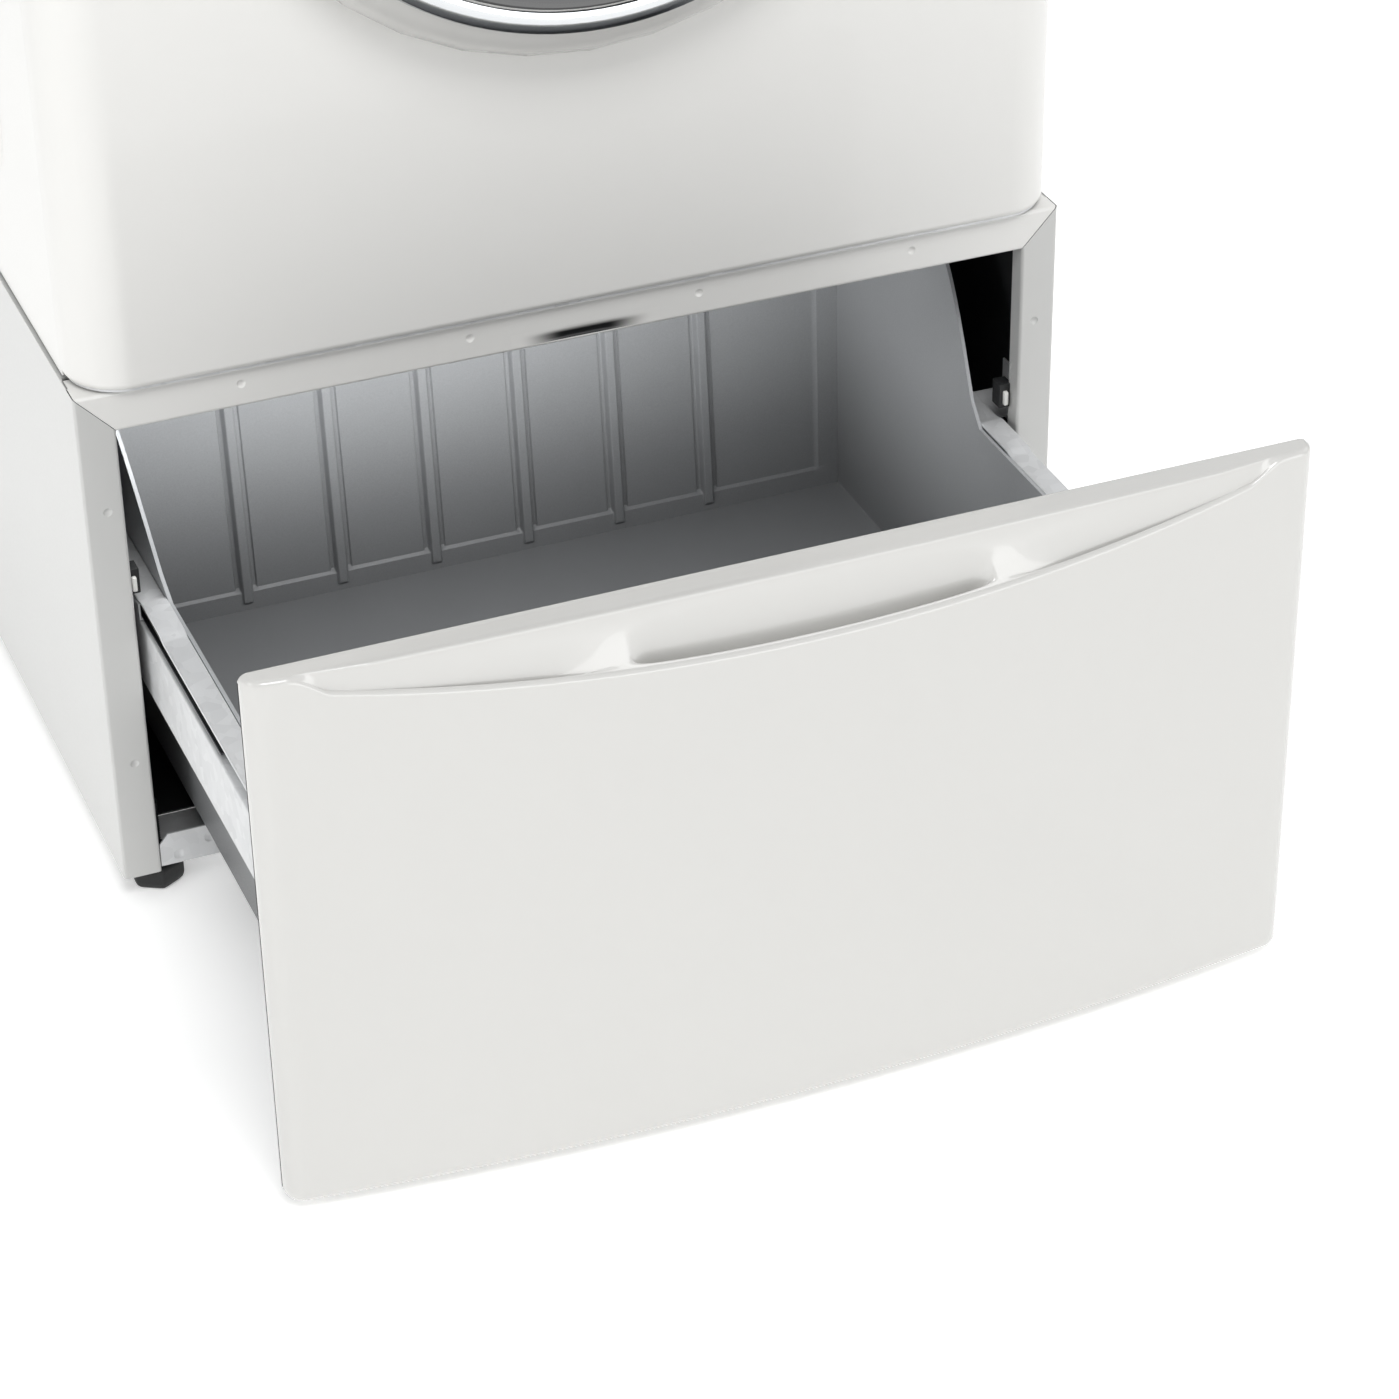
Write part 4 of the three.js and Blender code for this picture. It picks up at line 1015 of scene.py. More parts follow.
class WASHER_OT_pedestal_rails(bpy.types.Operator):
    """Top rail with its finger relief, galvanised bottom rail and back panel"""

    bl_idname = "washer.pedestal_rails"
    bl_label = "Pedestal rails and back"

    def execute(self, context):
        sizes = context.scene.washer_sizes
        radius = sizes.bend / MM
        inner = radius - SHEET
        points = [
            (0, RAIL_BOTTOM), (LIP, RAIL_BOTTOM), (LIP, RAIL_BOTTOM + SHEET), (SHEET, RAIL_BOTTOM + SHEET),
            (SHEET, PEDESTAL_TOP - SHEET), (28, PEDESTAL_TOP - SHEET), (28, PEDESTAL_TOP),
            (0, PEDESTAL_TOP),
        ]
        outline = rounded(points, [radius, 0, 0, inner, inner, 0, 0, radius])
        outline = [(0, RAIL_BOTTOM + up) for up in (12, 11, 9.5, 8, 6.5, 5.5, 4, 3.2, 2.5)] + outline
        # the finger relief is a shallow dish pressed into the face just above the lower bend
        xs = sorted({-OPENING, OPENING} | {-60 + 4 * i for i in range(31)})

        def section(x):
            dish = 1 - ease(6, 50, abs(x))

            def place(y, z):
                up = z - RAIL_BOTTOM
                deep = ease(1.5, 4, up) * (1 - ease(6.5, 11, up)) * (y < SHEET / 2)
                reach = up / RAIL_HEIGHT * FLANGE - 0.9 if abs(x) >= OPENING - 1 else 0.0
                return (x + math.copysign(max(0.0, reach), x), y + 1.1 * dish * deep, z)

            return place

        rail = swept("pedestal_top_rail_sheet", outline, [section(x) for x in xs])
        places = [(x, 0, 373) for x in (-234, -80, 80, 234)]
        pressed_dimples(rail, places, sizes.dimple / MM)
        smooth(rail, 30)
        weighted(rail)
        finished(rail, enamel(), "white_enamel", "cabinet", "pedestal_top_rail")
        # the rail's back and underside faces get near-black painted shade
        painted_shade_inside(rail, lambda c, n: n.y > 0.7 or n.z < -0.7 and c.z > (RAIL_BOTTOM + 6) * MM)
        # the finger relief's front faces get the painted shade, near-black fading at its ends and top
        rail.data.materials.append(painted_relief_shade())
        for face in rail.data.polygons:
            place = face.center / MM
            if face.normal.y < -0.5 and abs(place.x) < 52 and 2 < place.z - RAIL_BOTTOM < 11.5:
                face.material_index = 2

        low, high = box_mm("pedestal_bottom_rail")
        z0, z1, z2 = low.z, low.z + SHEET, high.z
        half = OPENING - 0.4
        points = [(1.5, z0), (60, z0), (60, z1), (3, z1), (3, z2), (1.5, z2)]
        outline = rounded(points, [1.8, 0, 0, 0.4, 0, 0])
        ends = [lambda y, z, x=x: (x, y, z) for x in (-half, half)]
        rail = swept("pedestal_bottom_rail_sheet", outline, ends)
        for _name, side in SIDES:
            places = [(side * 304, 1.5, 27.6), (side * 282, 1.5, 35.6)]
            pressed_dimples(rail, places, 8.0)
            past = half + 2
            corner = [(side * past, z2 - 10), (side * past, z2 + 2), (side * (half - 8), z2 + 2)]
            chamfer = swept("chamfer_tool", corner, [lambda x, z, y=y: (x, y, z) for y in (-5, 10)])
            cut_by(rail, chamfer)
        ears = [
            block(
                "rail_ear", side * (half - 10), side * (HALF_WIDTH - 3), LIP + 2, 60, z0 + 0.05, z1 - 0.05
            )
            for _name, side in SIDES
        ]
        rail = joined("pedestal_bottom_rail_sheet", [rail, *ears])
        smooth(rail, 30)
        weighted(rail)
        finished(rail, galvanised(), "galvanised_steel", "cabinet", "pedestal_bottom_rail")
        dressed("pedestal_back_panel", galvanised(), "galvanised_steel", "cabinet", 0.4)
        # a near-black sheet of painted shade on the pedestal's floor, under the tub
        pan = block(
            "pedestal_bottom_pan", -OPENING + 8, OPENING - 8, 63, DEPTH - 66, low.z - 0.4, low.z + 1.1
        )
        bevelled(pan, 0.5, 2)
        finished(pan, painted_shade_steel(), "dark_steel", "cabinet")
        y = box_mm("pedestal_back_panel")[1].y
        ribs = [stamped("back_rib", x - 70, x + 70, 70, 330, y, 2.0) for x in (-210, 0, 210)]
        finished(joined("pedestal_back_stampings", ribs), galvanised(), "galvanised_steel", "cabinet")
        return {"FINISHED"}


class WASHER_OT_feet(bpy.types.Operator):
    """Four levelling feet with moulded hexagonal pads, threaded stems and lock nuts"""

    bl_idname = "washer.feet"
    bl_label = "Levelling feet"

    def execute(self, context):
        sole = (
            (15.6, 0), (17.2, 0.7), (18.8, 2.4), (19.8, 5.2), (20, 7), (20, 15.6), (18.6, 17.4), (8, 17.5),
        )
        lock_nut = ((5.2, 20.9), (8.2, 20.9), (8.8, 21.6), (8.8, 25.4), (8.2, 26), (5.2, 26))
        for end, y in zip(("front", "rear"), FOOT_YS):
            for name, side in SIDES:
                x, body, stem = side * FOOT_X, f"foot_{end}_{name}", f"foot_{end}_{name}_stem"
                pad = formed(f"{body}_pad", self.hexagons(x, y, sole), wrap=True, caps=True)
                smooth(pad, 25)
                bevelled(pad, 0.8, 2, 25)
                thread = smooth(formed(stem, self.thread(x, y), wrap=True, caps=True), 60)
                finished(pad, rubber(), "black_rubber", body, f"{end}_{name}_foot")
                finished(thread, slide_steel(), "dark_steel", body)
                nut = formed(f"{body}_nut", self.hexagons(x, y, lock_nut), wrap=True)
                finished(smooth(nut, 25), slide_steel(), "dark_steel", body)
        return {"FINISHED"}

    @staticmethod
    def hexagons(x, y, profile):
        """A row of points for each (radius, z): a hexagon with slightly rounded corners."""
        rows = []
        for radius, z in profile:
            row = []
            for i in [*range(36), 0]:
                turn = math.tau * i / 36
                off = (turn + math.pi / 6) % (math.pi / 3) - math.pi / 6
                flat = radius * math.cos(math.pi / 6) / math.cos(abs(abs(off) - math.pi / 6))
                reach = min(flat, radius * 0.975)
                row.append((x - reach * math.sin(turn), y + reach * math.cos(turn), z))
            rows.append(row)
        return rows

    @staticmethod
    def thread(x, y):
        """Rows of points up a threaded stem: its rounded thread rises 1.8 mm in each turn."""
        turns, low, high = 26, 14, 61.8
        rows = []
        for i in range(turns * 8 + 1):
            z = mix(low, high, i / (turns * 8))
            radius = 4.55 + 0.42 * math.cos(math.tau * i / 8)
            row = []
            for k in range(20):
                turn = math.tau * k / 20
                up = min(high + 0.1, z + 1.8 * k / 20)
                row.append((x + radius * math.cos(turn), y + radius * math.sin(turn), up))
            rows.append([*row, row[0]])
        return rows


# ---- the drawer's rails and slides ----
class WASHER_OT_slides(bpy.types.Operator):
    """Folded drawer rails, telescopic members, bumpers and the drawer's back liner"""

    bl_idname = "washer.slides"
    bl_label = "Rails and slides"

    def execute(self, context):
        rail_low, rail_high = box_mm("drawer_rail_right")
        top = rail_high.z
        for name, side in SIDES:
            points = [
                (293.3, top - SHEET), (298, top - SHEET), (298, 156), (299.5, 156), (299.5, 204),
                (309.5, 204), (309.5, 155.5), (311, 155.5), (311, 205.5), (299.5, 205.5), (299.5, 206.2),
                (304, 206.2), (304, 207.2), (301, 207.2), (301, 217.8), (304, 217.8), (304, 218.8),
                (299.5, 218.8), (299.5, top - SHEET), (310.5, top - SHEET), (310.5, top), (293.3, top),
            ]
            radii = [0] * 8 + [1.4] + [0] * 11 + [0.7, 0.7]
            outline = rounded(points, radii)
            ys = [rail_low.y, -60, -41, -38, -34, -31, 8, 11, 15, 18, rail_high.y]
            rail = swept(f"drawer_rail_{name}_steel", outline, [self.section(side, y, top) for y in ys])
            smooth(rail, 30)
            finished(rail, galvanised(), "galvanised_steel", "drawer", f"drawer_rail_{name}")
            dressed(f"middle_slide_{name}", slide_steel(), "dark_steel", "middle_slides", 0.25)
            dressed(f"cabinet_slide_{name}", galvanised(), "galvanised_steel", "cabinet", 0.25)
            bumper = block(f"bumper_{name}", side * 311.6, side * 314.8, 9, 13, 232.5, 243)
            bevelled(bumper, 0.9, 3)
            nylon = plain_surface("white nylon", "#E6E6E2", 0.4, 0.02, 20, 1.2, 0.01, ior=1.53)
            finished(bumper, nylon, "white_gloss_plastic", "cabinet")
            clip = block(f"bumper_clip_{name}", side * 309, side * 318.6, 12, 24, 229.5, 248)
            bevelled(clip, 0.8, 2)
            finished(clip, rubber(), "black_rubber", "cabinet")
        liner = dressed("drawer_liner", grained_plastic(), "grey_plastic", "drawer", 0.6)
        liner.name = "drawer_liner_sheet"
        return {"FINISHED"}

    @staticmethod
    def section(side, y, top):
        """Places the rail's outline at y; its top flange rises in a low hump from y = -41 to 18."""
        lift = 2.4 * ease(-41, -31, y) * (1 - ease(8, 18, y))
        return lambda x, z: (side * x, y, z + (lift if z > top - 1.6 else 0.0))


# ---- the washer's casing ----
DOOR_HOLE = 215.0
CASE_CORNER = 38.0


def front_plan(inset):
    """The front wrap's outline from its right end round both rounded corners to its left end, as (x, y)."""
    radius = CASE_CORNER - inset
    middle_x, middle_y = WASHER_HIGH.x - CASE_CORNER, WASHER_LOW.y + CASE_CORNER
    turns = [math.radians(6 * i) for i in range(16)]
    right = [(middle_x + radius * math.cos(turn), middle_y - radius * math.sin(turn)) for turn in turns]
    across = [(mix(middle_x, -middle_x, i / 12), middle_y - radius) for i in range(1, 12)]
    return right + across + [(-x, y) for x, y in reversed(right)]


def stamped(name, x0, x1, z0, z1, y, height):
    """A soft-edged stamping standing height proud of a back panel whose outer face is at y."""
    piece = block(name, x0, x1, y - 1, y + height, z0, z1)
    return bevelled(piece, height * 0.95, 3)


def screws(name, places, body, slot="galvanised_steel"):
    """Cross-slotted pan heads at places (x, z, y, direction), where direction is -1 to face the front."""
    made = []
    for x, z, y, way in places:
        profile = [(0, 0), (4.2, 0), (4.2, 0.5), (3.6, 1.5), (2.2, 2.1), (0, 2.3)]
        head = turned("screw_head", [(r, y + up * way) for r, up in profile], (x, z), 24)
        for turn in (45, 135):
            tool = block("slot_tool", x - 2.6, x + 2.6, y + 1.1 * way, y + 3 * way, z - 0.45, z + 0.45)
            centre = at(x, 0, z)
            spin = Matrix.Rotation(math.radians(turn), 4, "Y")
            tool.data.transform(Matrix.Translation(centre) @ spin @ Matrix.Translation(-centre))
            cut_by(head, tool)
        made.append(head)
    piece = joined(name, made)
    smooth(piece, 40)
    return finished(piece, galvanised(), slot, body)


class WASHER_OT_casing(bpy.types.Operator):
    """Enamelled front wrap, stamped sides, top, and the galvanised back of the washer"""

    bl_idname = "washer.casing"
    bl_label = "Casing"

    def execute(self, context):
        low, high = WASHER_LOW.z, WASHER_HIGH.z
        roll, top = 5.5, 1.2
        turns = [math.radians(15 * i) for i in range(7)]
        quarter = [(1 - math.sin(turn), 1 - math.cos(turn)) for turn in turns]
        levels = [(roll * a, low + roll * b) for a, b in quarter]
        levels += [(0.0, mix(low + roll, high - top, i / 8)) for i in range(1, 9)]
        levels += [(top * a, high - top * b) for a, b in reversed(quarter[:-1])]
        rows = [[(x, y, z) for x, y in front_plan(inset)] for inset, z in levels]
        front = formed("washer_front_sheet", rows)
        flat = max(front.data.polygons, key=lambda face: face.area)
        if flat.normal.y > 0:
            in_edit(front, bpy.ops.mesh.flip_normals)
        with_modifier(front, "SOLIDIFY", thickness=SHEET * MM, offset=-1)
        through = (WASHER_LOW.y - 6, WASHER_LOW.y + 8)
        cut_by(front, disc("door_hole_tool", 0, AXIS_Z, *through, DOOR_HOLE, 128))
        cut_by(front, block("latch_slot_tool", 221, 236, *through, AXIS_Z - 13, AXIS_Z + 13))
        smooth(front, 30)
        weighted(front)
        finished(front, enamel(), "white_enamel", "cabinet", "washer_front_panel")
        dressed("washer_left_side", enamel(), "white_enamel", "cabinet", 0.5)
        dressed("washer_right_side", enamel(), "white_enamel", "cabinet", 0.5)
        for name, side in SIDES:
            rows = []
            for inset, reach in ((0, -0.5), (0, 0.0), (1.4, 0.8), (4.0, 1.2)):
                corners = [
                    (130 + inset, 470 + inset), (560 - inset, 470 + inset),
                    (560 - inset, 1170 - inset), (130 + inset, 1170 - inset),
                ]
                outline = rounded(corners, [44 - inset] * 4)
                rows.append([(side * (WASHER_HIGH.x + reach), y, z) for y, z in (*outline, outline[0])])
            field = formed(f"washer_{name}_side_stamping", rows, wrap=True, caps=True)
            smooth(field, 40)
            finished(weighted(field), enamel(), "white_enamel", "cabinet")
        dressed("top_panel", enamel(), "white_enamel", "cabinet", 4.0, 5)
        dressed("washer_rear_panel", galvanised(), "galvanised_steel", "cabinet", 0.4)
        y = box_mm("washer_rear_panel")[1].y
        back = [stamped("rear_panel_rib", x - 13, x + 13, 560, 1190, y, 3.0) for x in (-190, 190)]
        back += [stamped("rear_panel_rib", -150, 150, z - 13, z + 13, y, 3.0) for z in (590, 1160)]
        cover = [(0, -1), (168, -1), (168, 0.6), (162, 3.4), (120, 3.4), (112, 1.6), (0, 1.6)]
        cover = turned("rear_cover", [(r, y + up) for r, up in cover], (0, AXIS_Z + 20), 96)
        back.append(smooth(cover, 35))
        finished(joined("rear_panel_stampings", back), galvanised(), "galvanised_steel", "cabinet")
        edge = [(x, z, y, 1) for x in (-325, 325) for z in (402, 640, 880, 1120, 1316)]
        edge += [(x, 1316, y, 1) for x in (-160, 0, 160)]
        turns = [math.tau * i / 6 for i in range(6)]
        ring = [(140 * math.cos(turn), AXIS_Z + 20 + 140 * math.sin(turn), y + 3.4, 1) for turn in turns]
        screws("rear_panel_screws", edge + ring, "cabinet")
        dressed("base_pan", galvanised(), "galvanised_steel", "cabinet", 0.6)
        dressed("top_brace", galvanised(), "galvanised_steel", "cabinet", 0.4)
        return {"FINISHED"}


class WASHER_OT_controls(bpy.types.Operator):
    """Control panel with its fluted cycle knob, ringed buttons, lamps and detergent drawer"""

    bl_idname = "washer.controls"
    bl_label = "Controls"

    def execute(self, context):
        white = gloss_plastic()
        dressed("control_panel", white, "white_gloss_plastic", "cabinet", 1.5, 3)
        dressed("power_button", white, "white_gloss_plastic", "power_key", 0.5)
        dressed("start_button", white, "white_gloss_plastic", "start_key", 0.5)
        dressed("display_window", dark_window(), "window_black", "cabinet", 0.8)
        dressed("dispenser_housing", grained_plastic(), "grey_plastic", "cabinet", 0.8)
        dressed("detergent_drawer", white, "white_gloss_plastic", "dispenser_drawer", 1.2)
        self.knob()
        panel = WASHER_LOW.y
        low, high = box_mm("detergent_drawer")
        middle = (low.x + high.x) / 2
        grip = block(
            "dispenser_grip", middle - 38, middle + 38, low.y - 6, low.y + 1, low.z + 5, low.z + 12
        )
        bevelled(grip, 2.8, 5)
        finished(grip, white, "white_gloss_plastic", "dispenser_drawer")
        lamps = []
        for key in ("power_button", "start_button"):
            low, high = box_mm(key)
            x, z = (low.x + high.x) / 2, (low.z + high.z) / 2
            profile = [(12.7, 0.3), (12.7, -1.1), (13.3, -1.8), (14.4, -1.4), (15.0, 0.3)]
            ring = turned(f"{key}_ring", [(r, panel + y) for r, y in profile], (x, z), 64)
            finished(smooth(ring, 40), chrome(), "chrome", "cabinet")
            lamps.append(disc("lamp", x, z + 21, panel - 0.4, panel + 0.4, 1.5, 20))
        low, high = box_mm("display_window")
        face = (low.y - 0.25, low.y + 0.3)
        for i in range(5):
            x, z = low.x + 16 + 7 * i, low.z + 16
            lamps.append(block("bar", x, x + 3.6, *face, z, z + 6 + 3.2 * i))
        for i in range(4):
            lamps.append(disc("lamp", low.x + 66 + 15 * i, (low.z + high.z) / 2, *face, 2.0, 20))
        finished(joined("display_lamps", lamps), lit_lamp(), "window_black", "cabinet")
        return {"FINISHED"}

    @staticmethod
    def knob():
        """The cycle knob: a foot ring, a fluted grip, a dished face with a pointer, and marks round it."""
        low, high = box_mm("cycle_knob")
        x, z, front = (low.x + high.x) / 2, (low.z + high.z) / 2, low.y
        profile = (
            (36.0, 27.0, 0), (36.0, 25.4, 0), (35.2, 24.6, 0), (33.8, 24.2, 0), (33.0, 23.0, 0.3),
            (32.8, 21.0, 1), (31.8, 5.0, 1), (31.2, 2.6, 0.7), (29.6, 0.8, 0), (27.6, 0.0, 0),
            (25.8, 0.5, 0), (24.6, 1.6, 0),
        )
        rows = []
        for radius, y, flute in profile:
            row = []
            for i in [*range(192), 0]:
                turn = math.tau * i / 192
                reach = radius - 0.5 * flute * (1 - math.cos(24 * turn))
                row.append((x + reach * math.cos(turn), front + y, z + reach * math.sin(turn)))
            rows.append(row)
        piece = formed("cycle_knob_plated", rows, wrap=True, caps=True)
        finished(smooth(piece, 40), chrome(), "chrome", "knob", "cycle_knob")
        pointer = block("knob_pointer", x - 1.3, x + 1.3, front + 0.9, front + 2, z + 7, z + 22)
        bevelled(pointer, 0.5, 2)
        finished(pointer, dark_window(), "window_black", "knob")
        marks = []
        for i in range(13):
            turn = math.radians(25 * (i - 6))
            place = (x + 43.5 * math.sin(turn), z + 43.5 * math.cos(turn))
            size = 2.0 if i == 6 else 1.2
            marks.append(disc("mark", *place, WASHER_LOW.y - 0.25, WASHER_LOW.y + 0.3, size, 20))
        print_ink = plain_surface("grey screen-print ink", "#6E7173", 0.5, 0.05, 20, 1.0, 0.004, ior=1.5)
        finished(joined("knob_marks", marks), print_ink, "grey_plastic", "cabinet")


class WASHER_OT_door(bpy.types.Operator):
    """Door ring with its plated trim, glass bowl, inner ring, hinge, lock and the rubber bellows"""

    bl_idname = "washer.door"
    bl_label = "Door"

    def execute(self, context):
        dressed("door_frame", gloss_plastic(), "white_gloss_plastic", "door", 1.0)
        trim = [
            (206, -47), (207, -49.2), (210, -50.4), (217, -49.8), (221, -48.2), (222.5, -45.2), (214, -46),
        ]
        trim = turned("door_trim", trim, steps=128)
        finished(smooth(trim, 40), chrome(), "chrome", "door")
        bezel = turned(
            "door_bezel",
            [(183, -42.6), (184, -43.8), (203, -48.8), (205, -49), (205.6, -47), (184, -41.6)], steps=128,
        )
        finished(smooth(bezel, 40), dark_window(), "window_black", "door")
        dressed("door_glass", clear_glass(), "door_glass", "door", 0.8)
        dressed("door_inner_ring", grained_plastic(), "grey_plastic", "door", 0.8)
        dressed("door_hinge_bracket", chrome(), "chrome", "cabinet", 0.4)
        dressed("door_lock", rubber(), "black_rubber", "cabinet", 0.8)
        dressed("door_gasket", gasket_rubber(), "gasket_rubber", "cabinet", 0.6)
        return {"FINISHED"}


class WASHER_OT_drum(bpy.types.Operator):
    """Perforated drum with its lifters, and the spider, bearings and pulley behind it"""

    bl_idname = "washer.drum"
    bl_label = "Drum"

    def execute(self, context):
        back = box_mm("drum_shell")[1].y
        front = box_mm("drum_shell")[0].y
        outer = [
            (0, 0), (52, 0), (57, -5), (110, -5), (115, 0), (236, 0), (250, -3), (258.5, -10), (261.5, -22),
        ]
        mouth = [
            (261.5, 11), (260.2, 7.2), (257, 5.6), (214, 1.0), (208, 0.1), (206, 0.8), (206, 2.2),
            (209, 2.6), (214.5, 2.8), (256, 7.4), (260, 12),
        ]
        inner = []
        for r, y in outer:
            thinner = 1.5 if r > 240 else 0.0
            if r < 120:
                thinner = -0.6 if y else 0.6
            inner.append((max(0.0, r - thinner), y - 1.6))
        profile = [(r, back + y) for r, y in outer] + [(r, front + y) for r, y in mouth]
        profile += [(r, back + y) for r, y in reversed(inner)]
        shell = turned("drum_shell_sheet", profile, steps=144)
        finished(smooth(shell, 35), brushed_stainless(), "stainless", "drum", "drum_shell")
        rings = []
        for i in range(2):
            bpy.ops.object.select_all(action="DESELECT")
            spot = at(0, front + 30 + 16 * i, AXIS_Z + 259.9)
            bpy.ops.mesh.primitive_cylinder_add(vertices=6, radius=1.9 * MM, depth=0.5 * MM, location=spot)
            ring = settle(named("perforation"))
            turn = Matrix.Rotation(math.radians(2 * i), 4, "Y")
            ring.data.transform(Matrix.Translation(AXIS) @ turn @ Matrix.Translation(-AXIS))
            in_edit(
                ring,
                lambda: bpy.ops.mesh.spin(
                    steps=89, dupli=True, angle=math.tau * 89 / 90, center=AXIS, axis=(0, 1, 0)
                ),
            )
            rings.append(ring)
        holes = joined("drum_perforations", rings)
        with_modifier(
            holes, "ARRAY", count=11, use_relative_offset=False, use_constant_offset=True,
            constant_offset_displace=(0, 32 * MM, 0),
        )
        # the perforations are near-black discs of painted shade standing in for the holes
        finished(holes, painted_shade_steel(), "dark_steel", "drum")
        for number in (1, 2, 3):
            dressed(f"drum_lifter_{number}", grained_plastic(), "grey_plastic", "drum", 6.0, 4)
        dressed("drum_spider", cast_metal(), "cast_aluminium", "drum", 2.0)
        dressed("drum_pulley", cast_metal(), "cast_aluminium", "drum", 0.6)
        dressed("front_bearing", ground_steel(), "bearing_steel", "cabinet", 0.6)
        dressed("rear_bearing", ground_steel(), "bearing_steel", "cabinet", 0.6)
        return {"FINISHED"}


class WASHER_OT_works(bpy.types.Operator):
    """Outer tub, counterweight, coil springs, dampers, motor, belt, pump, hose and valves inside"""

    bl_idname = "washer.works"
    bl_label = "Inside works"

    def execute(self, context):
        dressed("tub_front_shell", filled_plastic(), "tub_plastic", "cabinet", 1.0)
        dressed("tub_rear_shell", filled_plastic(), "tub_plastic", "cabinet", 1.0)
        dressed("counterweight", iron(), "cast_iron", "cabinet", 3.0)
        for name, _side in SIDES:
            self.spring(name)
            dressed(f"damper_{name}", slide_steel(), "dark_steel", "cabinet", 0.6)
        dressed("drive_motor", cast_metal(), "cast_aluminium", "cabinet", 2.0)
        dressed("motor_pulley", cast_metal(), "cast_aluminium", "motor_rotor", 0.4)
        dressed("drive_belt", rubber(), "black_rubber", "cabinet", 0.5)
        dressed("drain_pump", grained_plastic(), "grey_plastic", "cabinet", 1.5)
        dressed("sump_hose", rubber(), "black_rubber", "cabinet", 0.6)
        dressed("inlet_valve", filled_plastic(), "tub_plastic", "cabinet", 1.0)
        dressed("cable_gland", rubber(), "black_rubber", "cabinet", 0.8)
        return {"FINISHED"}

    @staticmethod
    def spring(name):
        """A coil spring between two seats, in place of the plain bar of the frame."""
        low, high = box_mm(f"suspension_spring_{name}")
        x, y, wire = (low.x + high.x) / 2, (low.y + high.y) / 2, 1.7
        turns, radius = 30, 12.9 - wire
        rows = []
        for i in range(turns * 14 + 1):
            turn = math.tau * i / 14
            z = mix(low.z + 9, high.z - 9, i / (turns * 14))
            row = []
            for k in [*range(6), 0]:
                reach = radius + wire * math.cos(math.tau * k / 6)
                up = wire * math.sin(math.tau * k / 6)
                row.append((x + reach * math.cos(turn), y + reach * math.sin(turn), z + up))
            rows.append(row)
        coil = formed("spring_coil", rows, wrap=True, caps=True)
        seats = []
        for z0, z1 in ((low.z, low.z + 8), (high.z - 8, high.z)):
            bpy.ops.object.select_all(action="DESELECT")
            bpy.ops.mesh.primitive_cylinder_add(
                vertices=40, radius=12.6 * MM, depth=(z1 - z0) * MM, location=at(x, y, (z0 + z1) / 2)
            )
            seats.append(bevelled(settle(named("spring_seat")), 1.2, 3))
        piece = joined(f"suspension_spring_{name}_coil", [smooth(coil, 60), *seats])
        finished(piece, galvanised(), "galvanised_steel", "cabinet", f"suspension_spring_{name}")


# ---- stage ----
CAMERA_PLACE = (-0.8315, -2.4285, 1.6368)
CAMERA_YAW = 0.39775
CAMERA_PITCH = 0.585195
CAMERA_ROLL = -0.006294


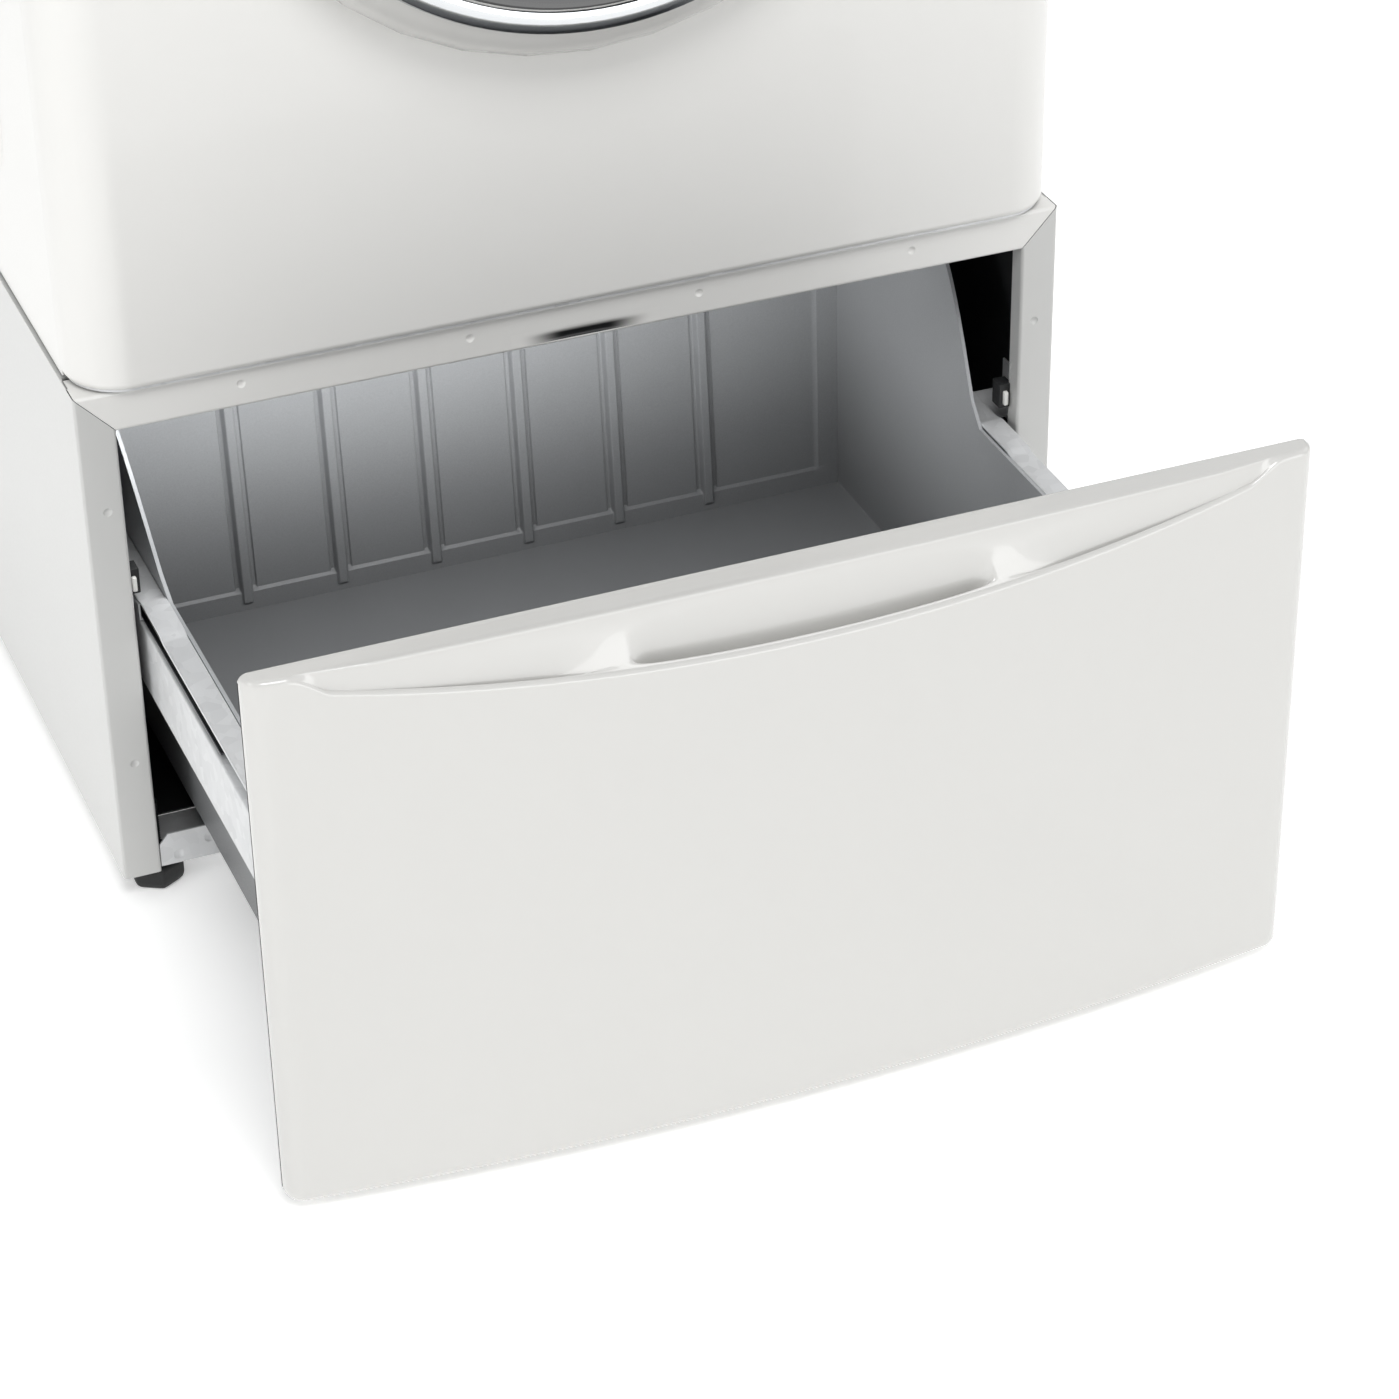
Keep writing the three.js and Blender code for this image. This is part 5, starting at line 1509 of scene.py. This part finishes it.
class WASHER_OT_stage(bpy.types.Operator):
    """Pale floor, soft lights and the camera"""

    bl_idname = "washer.stage"
    bl_label = "Stage"

    def execute(self, context):
        bpy.ops.object.select_all(action="DESELECT")
        bpy.ops.mesh.primitive_plane_add(size=160)
        floor = named("floor")
        material, tree, shader = new_material("matt white studio floor")
        if tree:
            place, colour = varied_colour(tree, linear("#FCFCFB"), 0.004, 300)
            tree.links.new(colour, shader.inputs["Base Color"])
            set_shader(shader, rough=0.8, ior=1.45)
            shader.inputs["Emission Color"].default_value = rgba(linear("#FFFFFF"))
            shader.inputs["Emission Strength"].default_value = 0.3
        floor.data.materials.append(material)

        world = bpy.data.worlds.new("studio")
        context.scene.world = world
        world.use_nodes = True
        tree = world.node_tree
        way = add(tree, "ShaderNodeTexCoord").outputs["Generated"]
        height = add(tree, "ShaderNodeSeparateXYZ", {"Vector": way})
        fall = add(
            tree, "ShaderNodeMapRange",
            {"Value": height.outputs["Z"], "From Max": 0.9, "To Min": 0.72, "To Max": 0.66},
        )
        aside = add(tree, "ShaderNodeMath", {0: height.outputs["X"]}, operation="ABSOLUTE")
        dim = add(
            tree, "ShaderNodeMapRange",
            {"Value": aside.outputs[0], "From Min": 0.35, "From Max": 0.9, "To Min": 1.08, "To Max": 0.66},
        )
        strength = add(
            tree, "ShaderNodeMath", {0: fall.outputs[0], 1: dim.outputs[0]}, operation="MULTIPLY"
        )
        sky = tree.nodes["Background"]
        sky.inputs["Color"].default_value = rgba(linear("#F4F5F6"))
        tree.links.new(strength.outputs[0], sky.inputs["Strength"])

        self.soft_light("key", (-0.7, -4.0, 6.0), (0, -0.2, 0.35), 2.6, 180)
        self.soft_light("left", (-3.4, -0.8, 1.6), (0, 0, 0.3), 1.8, 20)
        self.soft_light("right", (3.2, -0.6, 2.2), (0, 0, 0.5), 1.8, 14)
        self.soft_light("rear", (1.0, 3.6, 2.4), (0, 0, 0.6), 1.8, 26)
        strip = self.soft_light("cavity", at(-80, 21, 351), at(-80, 230, 250), 0.42, 0.86)
        strip.data.shape = "RECTANGLE"
        strip.data.size_y = 0.008
        strip.visible_camera = False
        gleam = self.soft_light("gleam", (1.75, -4.2, 0.96), (0, -0.3, 0.9), 4.0, 60)
        gleam.data.shape = "RECTANGLE"
        gleam.data.size_y = 1.9
        gleam.visible_camera = False
        gleam.visible_diffuse = False

        camera = bpy.data.cameras.new("camera")
        camera.sensor_width = 36
        camera.lens = 107.1
        camera.shift_x = -0.0475
        camera.shift_y = 0.0363
        camera.clip_start = 0.05
        holder = bpy.data.objects.new("camera", camera)
        context.collection.objects.link(holder)
        cos_yaw, sin_yaw = math.cos(CAMERA_YAW), math.sin(CAMERA_YAW)
        cos_pitch, sin_pitch = math.cos(CAMERA_PITCH), math.sin(CAMERA_PITCH)
        right = Vector((cos_yaw, -sin_yaw, 0))
        ahead = Vector((sin_yaw * cos_pitch, cos_yaw * cos_pitch, -sin_pitch))
        up = right.cross(ahead)
        cos_roll, sin_roll = math.cos(CAMERA_ROLL), math.sin(CAMERA_ROLL)
        across = right * cos_roll + up * sin_roll
        upright = up * cos_roll - right * sin_roll
        turn = Matrix((across, upright, -ahead)).transposed()
        holder.matrix_world = Matrix.Translation(CAMERA_PLACE) @ turn.to_4x4()
        context.scene.camera = holder
        context.scene.view_settings.view_transform = "Standard"
        return {"FINISHED"}

    @staticmethod
    def soft_light(name, place, target, size, power):
        bpy.ops.object.light_add(type="AREA", location=place)
        light = bpy.context.active_object
        light.name = f"{name}_softbox"
        light.data.size = size
        light.data.energy = power
        aim = Vector(target) - Vector(place)
        light.rotation_euler = aim.to_track_quat("-Z", "Y").to_euler()
        return light


# ---- panel and registration ----
OPERATORS = (
    WASHER_OT_drawer_front,
    WASHER_OT_storage_tub,
    WASHER_OT_pedestal_sides,
    WASHER_OT_pedestal_rails,
    WASHER_OT_feet,
    WASHER_OT_slides,
    WASHER_OT_casing,
    WASHER_OT_controls,
    WASHER_OT_door,
    WASHER_OT_drum,
    WASHER_OT_works,
    WASHER_OT_stage,
)


class WASHER_PT_pieces(bpy.types.Panel):
    """Lists the sizes, the colours and the operator of each piece"""

    bl_idname = "WASHER_PT_pieces"
    bl_label = "Washer on a drawer pedestal"
    bl_space_type = "VIEW_3D"
    bl_region_type = "UI"
    bl_category = "Washer"

    def draw(self, context):
        layout = self.layout
        for group in (context.scene.washer_sizes, context.scene.washer_colours):
            for name in group.__annotations__:
                layout.prop(group, name)
        for operator in OPERATORS:
            layout.operator(operator.bl_idname)


CLASSES = (WasherSizes, WasherColours, *OPERATORS, WASHER_PT_pieces)


def register():
    for item in CLASSES:
        bpy.utils.register_class(item)
    bpy.types.Scene.washer_sizes = PointerProperty(type=WasherSizes)
    bpy.types.Scene.washer_colours = PointerProperty(type=WasherColours)


def unregister():
    del bpy.types.Scene.washer_colours
    del bpy.types.Scene.washer_sizes
    for item in reversed(CLASSES):
        bpy.utils.unregister_class(item)


def main():
    register()
    for operator in OPERATORS:
        group, name = operator.bl_idname.split(".")
        getattr(getattr(bpy.ops, group), name)()


if __name__ == "__main__":
    main()
